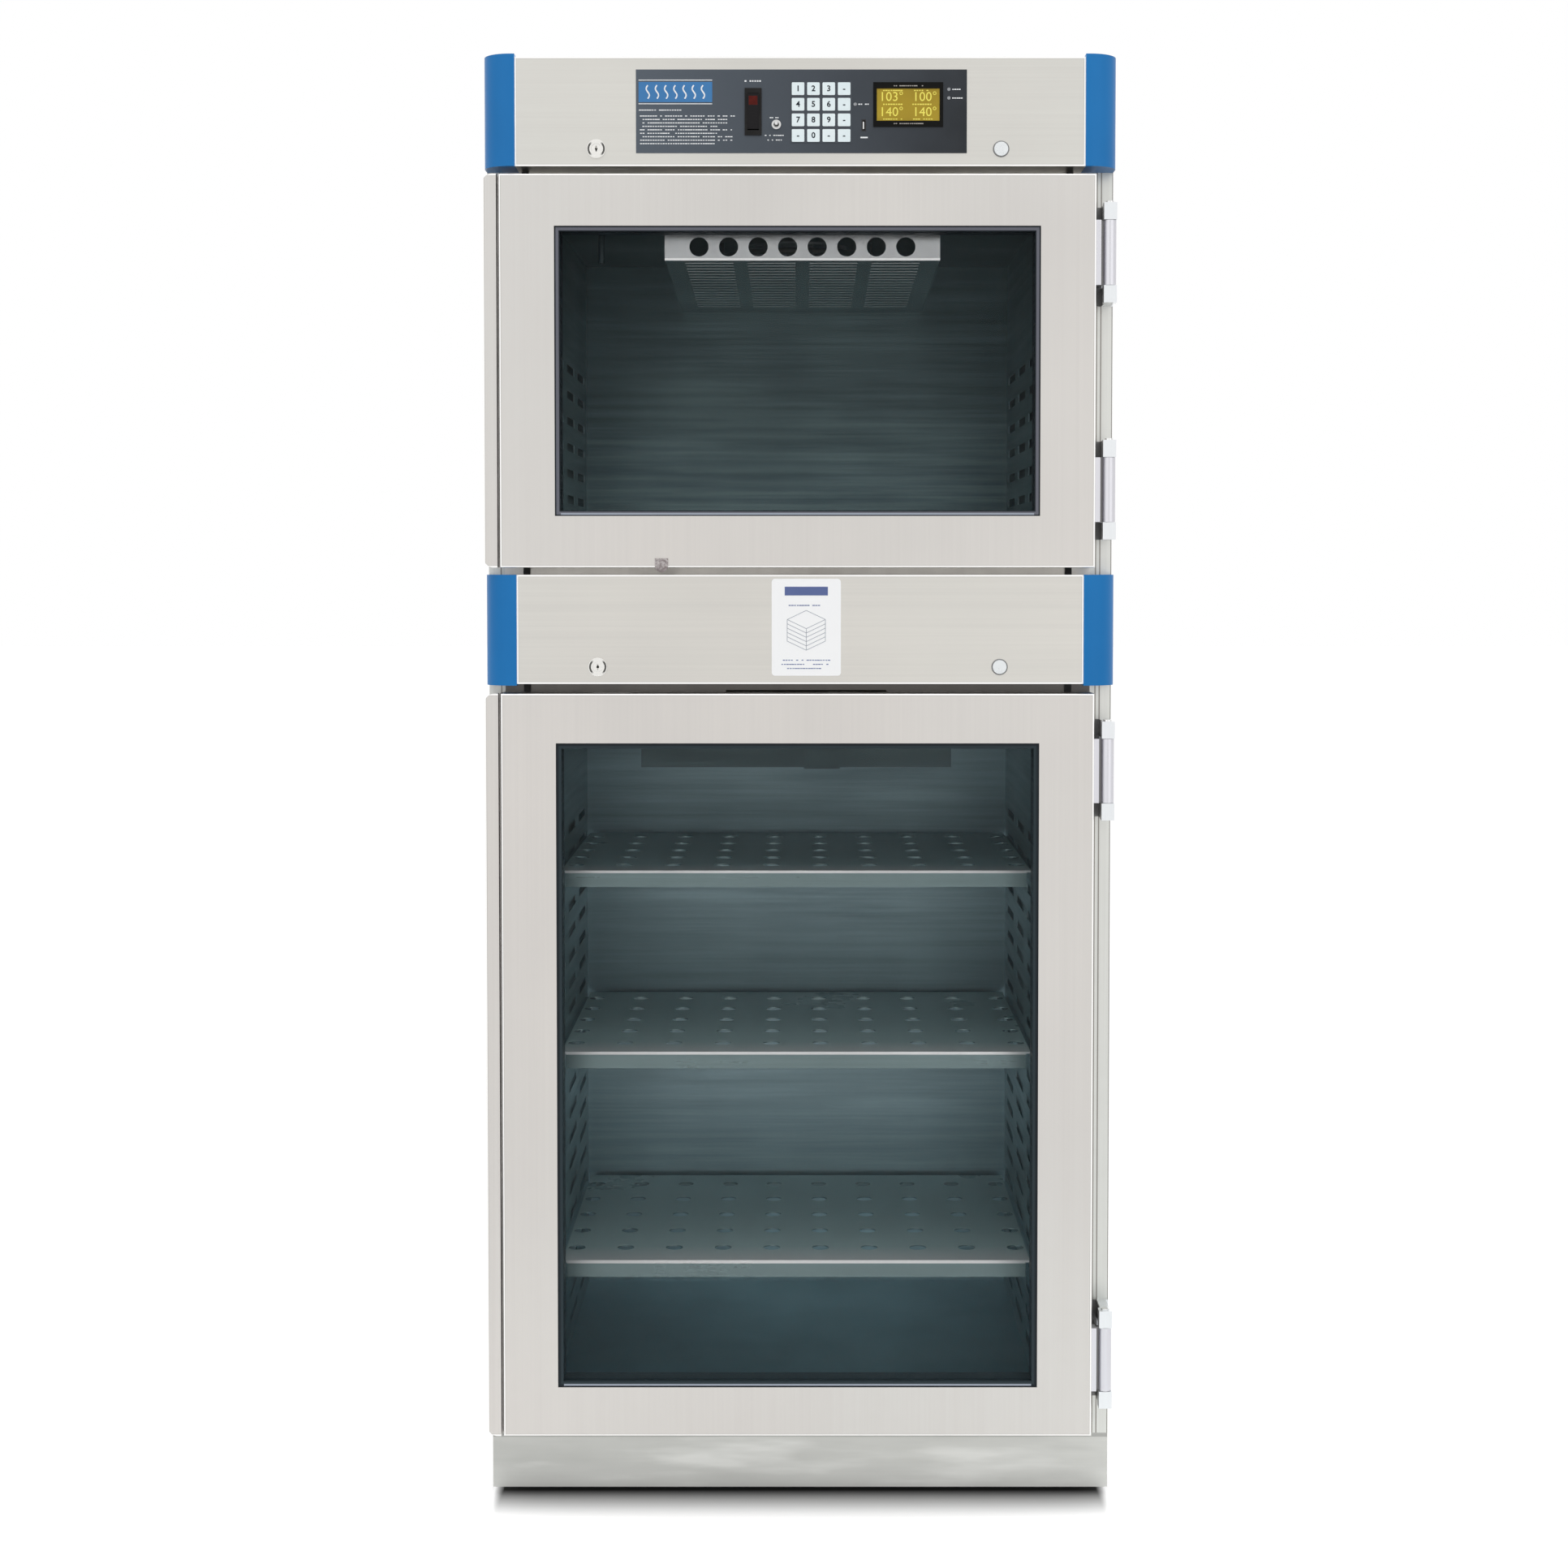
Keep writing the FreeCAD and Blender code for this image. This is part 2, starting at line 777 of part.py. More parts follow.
def make_duct_panels(prefix, floor, ceiling, rows):
    """Two slotted side walls that stand off the liner, with air rising behind them."""
    panels = []
    sheets = {
        "left": ("chamber_left - liner_sheet", "chamber_left"),
        "right": ("chamber_right", "chamber_right + liner_sheet"),
    }
    for hand, (low, high) in sheets.items():
        panel = new_body(f"{prefix}_{hand}_duct")
        pad(panel, "yz", low, high, [rectangle(span("frame_back", "liner_back"), span(floor, ceiling))])
        slots = []
        for column in range(whole("louvre_columns")):
            start = f"frame_back + louvre_first_back + {column} * louvre_pitch_back"
            slots.append(rectangle(span(start, f"{start} + louvre_length"),
                                   about(f"{floor} + louvre_first_up", "louvre_height")))
        cut_slots = pocket(panel, "yz", low, high, slots)
        repeat(panel, cut_slots, "Z_Axis", "louvre_pitch_up", rows)
        panels.append(panel)
    node(group(prefix + "_duct_group", panels), prefix + "_duct_panels")


def make_shelf(name, rise):
    """Perforated sheet with an upright lip welded under its front and its rear edge."""
    sheet = new_body(name + "_sheet")
    top = f"lower_floor + {rise}"
    under = f"{top} - shelf_sheet"
    width = about("chamber_middle", "shelf_width")
    pad(sheet, "xy", under, top, [rectangle(width, span("shelf_front", "shelf_back"))])
    holes = []
    for column in range(whole("shelf_hole_columns")):
        x = in_row("chamber_middle", column, "shelf_hole_columns", "shelf_hole_pitch_x")
        holes.append(((x, "shelf_front + shelf_hole_first"), "shelf_hole_radius"))
    row = pocket(sheet, "xy", under, top, [], holes)
    repeat(sheet, row, "Y_Axis", "shelf_hole_pitch_y", "shelf_hole_rows")
    lip_width = about("chamber_middle", "shelf_width - 2 * shelf_lip_inset")
    lip = span(f"{top} - shelf_lip", under)
    front = box(name + "_front_lip", lip_width, span("shelf_front", "shelf_front + shelf_sheet"), lip)
    rear = box(name + "_rear_lip", lip_width, span("shelf_back - shelf_sheet", "shelf_back"), lip)
    node(group(name + "_group", [sheet, front, rear]), name)


def make_shelf_brackets():
    """Left and right angle under each shelf, fixed to the duct panels."""
    brackets = []
    for rise in ("shelf_bottom_rise", "shelf_middle_rise", "shelf_top_rise"):
        high = f"lower_floor + {rise} - shelf_sheet"
        y = span("shelf_front + bracket_inset", "shelf_back - bracket_inset")
        for hand, wall, direction in (("left", "chamber_left", 1), ("right", "chamber_right", -1)):
            name = f"{rise}_{hand}_bracket"
            ends = {
                "leg": sorted((wall, f"{wall} + ({direction}) * bracket_leg"), key=value),
                "web": sorted((wall, f"{wall} + ({direction}) * shelf_sheet"), key=value),
            }
            leg = box(name + "_leg", ends["leg"], y, span(f"{high} - shelf_sheet", high))
            web = box(name + "_web", ends["web"], y, span(f"{high} - bracket_drop", high))
            brackets.append(fuse(name, [leg, web]))
    node(group("bracket_group", brackets), "shelf_brackets")


# Air system

def make_blower_wheel(prefix, ceiling, deck):
    """Centrifugal wheel and its shaft, built about its own axis."""
    wheel = new_body(prefix + "_blower_wheel")
    high = f"({ceiling}) - wheel_ceiling_gap"
    low = f"{high} - wheel_height"
    middle = ("0", "0")
    pad(wheel, "xy", f"{high} - 2 * blade_sheet", high, [], [(middle, "wheel_radius")])
    pad(wheel, "xy", high, f"{deck} + motor_flange_sheet + shaft_grip", [], [(middle, "shaft_radius")])
    blade = rectangle(span("wheel_eye_radius", "wheel_radius - blade_sheet"),
                      span("-blade_sheet / 2", "blade_sheet / 2"))
    first_blade = pad(wheel, "xy", low, f"{high} - 2 * blade_sheet", [blade])
    blades = wheel.newObject("PartDesign::PolarPattern", "PolarPattern")
    blades.Originals = [first_blade]
    blades.Axis = (origin_feature(wheel, "Z_Axis"), [""])
    blades.Angle = 360
    bind(blades, {"Occurrences": "blade_count"})
    wheel.Tip = blades
    rim = [(middle, "wheel_radius"), (middle, "wheel_eye_radius + blade_sheet")]
    pad(wheel, "xy", low, f"{low} + blade_sheet", [], rim)
    bind(wheel, {"Placement.Base.x": "chamber_middle", "Placement.Base.y": "blower_y"})
    node(wheel, prefix + "_blower_wheel")


def make_blower_motors():
    motors = []
    for prefix, deck in (("lower", "lower_deck"), ("upper", "upper_deck")):
        name = prefix + "_motor"
        flange = box(name + "_flange", about("chamber_middle", "motor_flange"),
                     about("blower_y", "motor_flange"), span(deck, f"{deck} + motor_flange_sheet"))
        can_start = ("chamber_middle", "blower_y", f"{deck} + motor_flange_sheet")
        can = rod(name + "_can", "z", can_start, "motor_radius", "motor_height")
        bore = rod(name + "_bore", "z", ("chamber_middle", "blower_y", deck),
                   "shaft_radius + shaft_clearance", "motor_flange_sheet + shaft_grip + shaft_clearance")
        motors.append(cut(name, fuse(name + "_blank", [flange, can]), [bore]))
    node(group("motor_group", motors), "blower_motors")


def make_heaters():
    """Ring element around each blower wheel, hung from the ceiling by its two terminals."""
    heaters = []
    for prefix, ceiling in (("lower", "lower_ceiling"), ("upper", "upper_ceiling")):
        name = prefix + "_heater"
        height = f"{ceiling} - heater_drop"
        parts = [torus(name + "_ring", ("chamber_middle", "blower_y", height),
                       "heater_ring_radius", "heater_tube_radius")]
        for sign in (-1, 1):
            start = (f"chamber_middle + ({sign}) * heater_ring_radius", "blower_y", height)
            parts.append(rod(f"{name}_terminal_{sign + 1}", "z", start,
                             "heater_terminal_radius", "heater_drop"))
        heaters.append(fuse(name, parts))
    node(group("heater_group", heaters), "heater_elements")


def make_diffuser():
    """Wedge shaped duct under the upper ceiling, with round outlets in front."""
    diffuser = new_body("upper_diffuser")
    low_front = "upper_ceiling - diffuser_front_drop"
    low_back = "upper_ceiling - diffuser_back_drop"
    outer = [("diffuser_front", "upper_ceiling"), ("diffuser_front", low_front),
             ("liner_back", low_back), ("liner_back", "upper_ceiling")]
    x = about("diffuser_x", "diffuser_width")
    pad(diffuser, "yz", x[0], x[1], [outer])
    hollow = [("diffuser_front + liner_sheet", "upper_ceiling"),
              ("diffuser_front + liner_sheet", f"{low_front} + liner_sheet"),
              ("liner_back - liner_sheet", f"{low_back} + liner_sheet"),
              ("liner_back - liner_sheet", "upper_ceiling")]
    pocket(diffuser, "yz", f"{x[0]} + liner_sheet", f"{x[1]} - liner_sheet", [hollow])
    holes = []
    for number in range(whole("diffuser_hole_count")):
        across = in_row("diffuser_x", number, "diffuser_hole_count", "diffuser_hole_pitch")
        holes.append(((across, "upper_ceiling - diffuser_hole_drop"), "diffuser_hole_radius"))
    pocket(diffuser, "xz", "diffuser_front", "diffuser_front + liner_sheet", [], holes)
    slots = []
    for number in range(whole("diffuser_slot_columns")):
        middle = in_row("diffuser_x", number, "diffuser_slot_columns",
                        "diffuser_slot_length + diffuser_slot_land")
        start = "diffuser_front + diffuser_slot_pitch"
        slots.append(rectangle(about(middle, "diffuser_slot_length"),
                               span(start, f"{start} + diffuser_slot_width")))
    cut_slots = pocket(diffuser, "xy", low_back, f"{low_front} + 2 * liner_sheet", slots)
    repeat(diffuser, cut_slots, "Y_Axis", "diffuser_slot_pitch", "diffuser_slot_rows")
    node(diffuser, "upper_diffuser")


def make_plenum():
    """Shallow fan box under the lower ceiling, with side outlets and a slotted underside."""
    plenum = new_body("lower_plenum")
    low = "lower_ceiling - plenum_drop"
    x = about("chamber_middle", "plenum_width")
    pad(plenum, "xy", low, "lower_ceiling", [rectangle(x, span("plenum_front", "liner_back"))])
    inside = rectangle(span(f"{x[0]} + liner_sheet", f"{x[1]} - liner_sheet"),
                       span("plenum_front + liner_sheet", "liner_back - liner_sheet"))
    pocket(plenum, "xy", f"{low} + liner_sheet", "lower_ceiling", [inside])
    outlet = rectangle(about("blower_y + plenum_outlet_shift", "plenum_outlet_length"),
                       about("lower_ceiling - plenum_drop / 2", "plenum_outlet_height"))
    pocket(plenum, "yz", x[0], x[1], [outlet])
    slots = []
    first_row = about(in_row("blower_y", 0, "plenum_slot_rows", "plenum_slot_pitch"), "diffuser_slot_width")
    for number in range(whole("plenum_slot_columns")):
        middle = in_row("chamber_middle", number, "plenum_slot_columns",
                        "diffuser_slot_length + diffuser_slot_land")
        slots.append(rectangle(about(middle, "diffuser_slot_length"), first_row))
    cut_slots = pocket(plenum, "xy", low, f"{low} + liner_sheet", slots)
    repeat(plenum, cut_slots, "Y_Axis", "plenum_slot_pitch", "plenum_slot_rows")
    node(plenum, "lower_plenum")


def make_probes():
    """Guarded probe in front of the lower fan box, bare probe under the upper ceiling."""
    guard_high = "lower_ceiling - plenum_drop + probe_guard_height"
    guard = box("probe_guard", about("chamber_middle + probe_guard_shift", "probe_guard_width"),
                span("plenum_front - probe_guard_depth", "plenum_front"),
                span("lower_ceiling - plenum_drop", guard_high))
    start = ("chamber_left + probe_inset", "frame_back + probe_inset", "upper_ceiling - probe_length")
    probe = rod("upper_probe", "z", start, "probe_radius", "probe_length")
    node(group("probe_group", [guard, probe]), "temperature_probes")


# Header and middle band

def lock_hole(low):
    return (("lock_x", f"{low} + lock_rise"), "lock_barrel_radius + lock_clearance")


def blank_hole(low):
    return (("blank_x", f"{low} + lock_rise"), "blank_stem_radius + lock_clearance")


cam_slot_x = ("lock_x - cam_width / 2 - cam_slot_margin", "lock_x + cam_length")
cam_slot_y = ("cam_front - cam_slot_margin", "cam_back + cam_slot_margin")


def make_band(name, low, high, loops=(), circles=()):
    """Folded front panel with a flange to the face frame above and below."""
    band = new_body(name)
    x = span("-side + cap_width", "side - cap_width")
    pad(band, "xz", "door_front", "door_front + shell_sheet", [rectangle(x, span(low, high))])
    for flange in (span(low, f"{low} + shell_sheet"), span(f"{high} - shell_sheet", high)):
        pad(band, "xz", "door_front", "frame_front", [rectangle(x, flange)])
    holes = [lock_hole(low), blank_hole(low)] + list(circles)
    pocket(band, "xz", "door_front", "door_front + shell_sheet", loops, holes)
    pocket(band, "xy", low, f"{low} + shell_sheet", [rectangle(cam_slot_x, cam_slot_y)])
    node(band, name)


def make_caps(name, low, high):
    """Rounded plastic corner caps at the two ends of a band."""
    caps = []
    for hand, x, outer in (("left", span("-side", "-side + cap_width"), "-side"),
                           ("right", span("side - cap_width", "side"), "side")):
        cap = new_body(f"{name}_{hand}")
        pad(cap, "xy", low, high, [rectangle(x, span("cap_front", "frame_front"))])
        corner_x = value(outer)
        corner_y = value("cap_front")

        def is_corner(edge):
            point = edge.Vertexes[0].Point
            return (runs_along(edge, "z") and abs(point.x - corner_x) < 1e-6
                    and abs(point.y - corner_y) < 1e-6)

        round_edges(cap, "cap_radius", is_corner)
        caps.append(cap)
    node(group(name + "_group", caps), name)


# Openings shared by the header panel and the overlay: (loops, circles)

def panel_cutouts():
    slack = "2 * cutout_clearance"
    loops = [
        rectangle(about("rocker_x", f"rocker_body_width + {slack}"),
                  about("rocker_z", f"rocker_body_height + {slack}")),
        rectangle(about("lcd_x", f"lcd_width + {slack}"), about("lcd_z", f"lcd_height + {slack}")),
        rectangle(about("port_x", f"port_width + {slack}"), about("port_z", f"port_height + {slack}")),
    ]
    circles = [(("toggle_x", "toggle_z"), "toggle_barrel_radius + cutout_clearance")]
    circles += [(spot, "lamp_radius + cutout_clearance") for spot in lamp_spots]
    return loops, circles


lamp_spots = [
    ("overlay_left + door_lamp_across", "overlay_low + door_lamp_up"),
    ("overlay_left + heat_lamp_across", "overlay_low + heat_lamp_up"),
    ("overlay_left + heat_lamp_across", "overlay_low + heat_lamp_up - lamp_pitch"),
]


# Control panel

def make_overlay():
    overlay = new_body("control_overlay")
    outline = rectangle(span("overlay_left", "overlay_left + overlay_width"),
                        span("overlay_low", "overlay_low + overlay_height"))
    pad(overlay, "xz", "overlay_front", "door_front", [outline])
    loops, circles = panel_cutouts()
    pocket(overlay, "xz", "overlay_front", "door_front", loops, circles)
    node(overlay, "control_overlay")


switch_cases = []


def make_rocker():
    housing = box("rocker_bezel", about("rocker_x", "rocker_bezel_width"),
                  span("rocker_bezel_front", "overlay_front"), about("rocker_z", "rocker_bezel_height"))
    barrel = box("rocker_barrel", about("rocker_x", "rocker_body_width"),
                 span("overlay_front", "overlay_front + rocker_body_depth"),
                 about("rocker_z", "rocker_body_height"))
    cavity = box("rocker_cavity", about("rocker_x", "rocker_cavity_width"),
                 span("rocker_bezel_front", "rocker_bezel_front + rocker_cavity_depth"),
                 about("rocker_z", "rocker_cavity_height"))
    axle_half = "rocker_cavity_width / 2 + axle_engagement"
    pivot_start = (f"rocker_x - ({axle_half})", "rocker_pivot", "rocker_z")
    bearing_start = (f"rocker_x - ({axle_half}) - axle_clearance", "rocker_pivot", "rocker_z")
    bearing = rod("rocker_bearing", "x", bearing_start, "axle_radius + axle_clearance",
                  f"2 * ({axle_half} + axle_clearance)")
    switch_cases.append(cut("rocker_case", fuse("rocker_shell", [housing, barrel]), [cavity, bearing]))

    paddle = doc.addObject("Part::Box", "rocker_paddle")
    width = "rocker_cavity_width - 2 * rocker_side_clearance"
    bind(paddle, {"Length": width, "Width": "rocker_thickness", "Height": "rocker_length"})
    half_width = f"({width}) / 2"
    tilt = value("rocker_tilt")
    paddle.Placement = Placement(Vector(), Rotation(Vector(1, 0, 0), -tilt))
    bind(paddle, {
        "Placement.Rotation.Angle": "rocker_tilt",
        "Placement.Base.x": f"rocker_x - {half_width}",
        "Placement.Base.y": "rocker_pivot - rocker_thickness / 2 * cos(rocker_tilt * 1 deg)"
                            " - rocker_length / 2 * sin(rocker_tilt * 1 deg)",
        "Placement.Base.z": "rocker_z + rocker_thickness / 2 * sin(rocker_tilt * 1 deg)"
                            " - rocker_length / 2 * cos(rocker_tilt * 1 deg)",
    })
    axle = rod("rocker_axle", "x", pivot_start, "axle_radius", f"2 * ({axle_half})")
    node(fuse("rocker_fuse", [paddle, axle]), "power_rocker")


def make_toggle():
    nut = rod("toggle_nut", "y", ("toggle_x", "toggle_front", "toggle_z"),
              "toggle_nut_radius", "toggle_nut_height")
    barrel = rod("toggle_barrel", "y", ("toggle_x", "overlay_front", "toggle_z"),
                 "toggle_barrel_radius", "overlay_sheet + shell_sheet")
    back = "door_front + shell_sheet"
    case = box("toggle_case", about("toggle_x", "toggle_body_size"),
               span(back, f"{back} + toggle_body_depth"), about("toggle_z", "toggle_body_size"))
    mouth = rod("toggle_mouth", "y", ("toggle_x", "toggle_front", "toggle_z"), "toggle_mouth_radius",
                "toggle_pivot - toggle_front + toggle_mouth_radius")
    switch_cases.append(cut("toggle_bushing", fuse("toggle_shell", [nut, barrel, case]), [mouth]))
    bat = cone("toggle_bat", "y", ("toggle_x", "lever_tip", "toggle_z"), "lever_tip_radius",
               "lever_root_radius", "toggle_pivot - lever_tip")
    pivot = ball("toggle_ball", ("toggle_x", "toggle_pivot", "toggle_z"),
                 "toggle_mouth_radius - toggle_ball_clearance")
    node(fuse("toggle_fuse", [bat, pivot]), "toggle_lever")


def make_keypad():
    """Membrane keypad: one sheet with sixteen embossed keys."""
    keypad = new_body("keypad")
    first = "key_size / 2 + keypad_margin"
    sheet = rectangle(span(f"keypad_x - ({first})", f"keypad_x + (key_columns - 1) * key_pitch_x + {first}"),
                      span(f"keypad_z - ({first})", f"keypad_z + (key_rows - 1) * key_pitch_z + {first}"))
    pad(keypad, "xz", "overlay_front - keypad_sheet", "overlay_front", [sheet])
    keys = []
    for column in range(whole("key_columns")):
        for row in range(whole("key_rows")):
            keys.append(rectangle(about(f"keypad_x + {column} * key_pitch_x", "key_size"),
                                  about(f"keypad_z + {row} * key_pitch_z", "key_size")))
    pad(keypad, "xz", "overlay_front - keypad_sheet - key_height", "overlay_front - keypad_sheet", keys)
    face = value("overlay_front - keypad_sheet")

    def is_key_corner(edge):
        return runs_along(edge, "y") and edge.BoundBox.YMin < face - 1e-6

    round_edges(keypad, "key_corner", is_key_corner)
    node(keypad, "keypad")


def make_display():
    bezel_x = about("lcd_x", "lcd_bezel_width")
    bezel_z = about("lcd_z", "lcd_bezel_height")
    window_x = about("lcd_x", "lcd_width")
    window_z = about("lcd_z", "lcd_height")
    face = span("overlay_front - lcd_bezel_sheet", "overlay_front")
    bezel = cut("lcd_bezel_cut", box("lcd_bezel_blank", bezel_x, face, bezel_z),
                [box("lcd_bezel_window", window_x, face, window_z)])
    node(bezel, "lcd_bezel")
    node(box("lcd_module", window_x, span("overlay_front", "board_front"), window_z), "lcd_screen")


def make_lamps_and_port():
    lamps = []
    for number, (x, z) in enumerate(lamp_spots, 1):
        lamps.append(rod(f"lamp_{number}", "y", (x, "overlay_front - lamp_proud", z), "lamp_radius",
                         "board_front - overlay_front + lamp_proud"))
    node(group("lamp_group", lamps), "indicator_lamps")
    case = box("port_case", about("port_x", "port_width"), span("overlay_front", "board_front"),
               about("port_z", "port_height"))
    recess = box("port_recess", about("port_x", "port_width - 2 * port_wall"),
                 span("overlay_front", "overlay_front + port_recess"),
                 about("port_z", "port_height - 2 * port_wall"))
    node(cut("port_cut", case, [recess]), "data_port")


def make_electronics():
    left = "overlay_left + board_left_across"
    right = "overlay_left + overlay_width - board_margin"
    low = "overlay_low + board_margin"
    high = "overlay_low + overlay_height - board_margin"
    board = box("board_sheet_item", span(left, right), span("board_front", "board_front + board_sheet"),
                span(low, high))
    parts = [board]
    for x in (f"{left} + standoff_inset", f"{right} - standoff_inset"):
        for z in (f"{low} + standoff_inset", f"{high} - standoff_inset"):
            start = (x, "door_front + shell_sheet", z)
            parts.append(rod(f"standoff_{len(parts)}", "y", start, "standoff_radius",
                             "board_setback - shell_sheet"))
    node(fuse("board_fuse", parts), "control_board")
    supply = box("supply_case", about("-supply_shift", "supply_width"),
                 span("shell_inside - supply_depth", "shell_inside"),
                 span("upper_deck", "upper_deck + supply_height"))
    node(supply, "power_supply")


# Locks, blanking plugs and label

def make_locks():
    barrels = []
    for prefix, low in (("lower", "mid_low"), ("upper", "header_low")):
        z = f"{low} + lock_rise"
        name = prefix + "_lock"
        ring_start = ("lock_x", "door_front - lock_ring_height", z)
        face = rod(name + "_face", "y", ring_start, "lock_ring_radius", "lock_ring_height")
        tube = rod(name + "_tube", "y", ("lock_x", "door_front", z), "lock_barrel_radius",
                   "lock_barrel_length")
        bore = rod(name + "_bore", "y", ring_start, "plug_radius + plug_clearance",
                   "lock_ring_height + lock_barrel_length")
        barrels.append(cut(name + "_barrel", fuse(name + "_blank", [face, tube]), [bore]))

        plug_start = ("lock_x", "door_front - lock_ring_height + plug_recess", z)
        plug = rod(name + "_plug_rod", "y", plug_start, "plug_radius",
                   "lock_ring_height - plug_recess + lock_barrel_length + cam_gap")
        key_slot = box(name + "_key_slot", about("lock_x", "key_slot_width"),
                       span(plug_start[1], f"{plug_start[1]} + key_slot_depth"), about(z, "key_slot_height"))
        core = cut(name + "_core", plug, [key_slot])
        cam = box(name + "_cam", span("lock_x - cam_width / 2", "lock_x + cam_length"),
                  span("cam_front", "cam_back"), about(z, "cam_width"))
        node(group(name + "_group", [core, cam]), prefix + "_lock_plug")
    node(group("barrel_group", barrels), "lock_barrels")


def make_blanks():
    blanks = []
    for prefix, low in (("lower", "mid_low"), ("upper", "header_low")):
        blank = new_body(prefix + "_blank")
        centre = ("blank_x", f"{low} + lock_rise")
        pad(blank, "xz", "door_front - blank_height", "door_front", [], [(centre, "blank_radius")])
        pad(blank, "xz", "door_front", "door_front + blank_stem_length", [], [(centre, "blank_stem_radius")])
        face = value("door_front - blank_height")
        round_edges(blank, "blank_edge", lambda edge: abs(edge.BoundBox.YMax - face) < 1e-6)
        blanks.append(blank)
    node(group("blank_group", blanks), "hole_plugs")


def make_label():
    label = new_body("label_plate")
    outline = rectangle(about("label_x", "label_width"), span("label_low", "label_low + label_height"))
    pad(label, "xz", "door_front - label_sheet", "door_front", [outline])
    round_edges(label, "label_corner", lambda edge: runs_along(edge, "y"))
    node(label, "label_plate")


# Doors

def make_door(prefix, low, high, rail):
    door_x = span("door_left", "door_right")
    door_z = span(low, high)
    window_x = span("window_left", "window_right")
    window_z = span(f"{low} + {rail}", f"{high} - {rail}")

    def grown(pair, amount):
        return (f"{pair[0]} - ({amount})", f"{pair[1]} + ({amount})")

    frame = new_body(prefix + "_door_frame")
    window = rectangle(window_x, window_z)
    pad(frame, "xz", "door_front", "door_front + shell_sheet", [rectangle(door_x, door_z), window])
    inner_x = grown(door_x, "-shell_sheet")
    inner_z = grown(door_z, "-shell_sheet")
    pad(frame, "xz", "door_front", "door_back", [rectangle(door_x, door_z), rectangle(inner_x, inner_z)])
    reveal = rectangle(grown(window_x, "shell_sheet"), grown(window_z, "shell_sheet"))
    pad(frame, "xz", "door_front", "door_front + reveal_depth", [reveal, window])
    pocket(frame, "xy", f"{high} - shell_sheet", high, [rectangle(cam_slot_x, cam_slot_y)])
    face = value("door_front")
    edge_limits = (value("door_left"), value("door_right"), value(low), value(high))

    def is_front_rim(edge):
        bounds = edge.BoundBox
        flat = bounds.YMax < face + 1e-6
        on_side = bounds.XMax < edge_limits[0] + 1e-6 or bounds.XMin > edge_limits[1] - 1e-6
        on_end = bounds.ZMax < edge_limits[2] + 1e-6 or bounds.ZMin > edge_limits[3] - 1e-6
        return flat and (on_side or on_end)

    round_edges(frame, "door_edge_radius", is_front_rim)
    node(frame, prefix + "_door_frame")

    liner = new_body(prefix + "_door_liner")
    pad(liner, "xz", "door_back - shell_sheet", "door_back", [rectangle(inner_x, inner_z), window])
    pad(liner, "xz", "inner_pane_back", "door_back", [reveal, window])
    node(liner, prefix + "_door_liner")

    pane_x = grown(window_x, "glass_lap")
    pane_z = grown(window_z, "glass_lap")
    outer_pane = box(prefix + "_outer_pane", pane_x, span("door_front + reveal_depth", "pane_back"), pane_z)
    inner_pane = box(prefix + "_inner_pane", pane_x, span("inner_pane_front", "inner_pane_back"), pane_z)
    node(group(prefix + "_panes", [outer_pane, inner_pane]), prefix + "_door_glass")

    trim = ring(prefix + "_trim", window_x, span("door_front + trim_setback", "door_front + reveal_depth"),
                window_z, "trim_width")
    spacer = ring(prefix + "_spacer", grown(window_x, "glass_lap - spacer_inset"),
                  span("pane_back", "inner_pane_front"), grown(window_z, "glass_lap - spacer_inset"),
                  "glass_lap - spacer_inset + trim_width")
    node(group(prefix + "_glazing", [trim, spacer]), prefix + "_glazing_trim")

    make_handle(prefix, low, high)
    make_hinge_leaves(prefix, low, high)


def make_handle(prefix, low, high):
    """Full height edge pull: a channel open to the rear, on a flange fixed to the door's edge."""
    bar = new_body(prefix + "_handle_bar")
    left = "-side"
    right = "-side + handle_width"
    front = "door_front"
    inner_front = "door_front + handle_sheet"
    channel_back = "door_front + handle_depth"
    profile = [
        (left, front),
        (right, front),
        (right, f"{channel_back} - handle_sheet"),
        ("door_left", f"{channel_back} - handle_sheet"),
        ("door_left", "door_front + handle_flange_length"),
        ("door_left - handle_sheet / 2", "door_front + handle_flange_length"),
        ("door_left - handle_sheet / 2", channel_back),
        (f"{right} - handle_sheet", channel_back),
        (f"{right} - handle_sheet", inner_front),
        (f"{left} + handle_sheet", inner_front),
        (f"{left} + handle_sheet", channel_back),
        (left, channel_back),
    ]
    pad(bar, "xy", low, high, [profile])
    envelope = new_body(prefix + "_handle_envelope")
    pad(envelope, "xz", front, "door_front + handle_flange_length",
        [rectangle(span(left, "door_left"), span(low, high))])
    edge_x = value(left)
    round_edges(envelope, "handle_corner",
                lambda edge: runs_along(edge, "y") and abs(edge.Vertexes[0].Point.x - edge_x) < 1e-6)
    handle = doc.addObject("Part::Common", prefix + "_handle_common")
    handle.Base = bar
    handle.Tool = envelope
    node(handle, prefix + "_handle")


def hinge_heights(low, high):
    return (f"{low} + hinge_inset", f"{high} - hinge_inset")


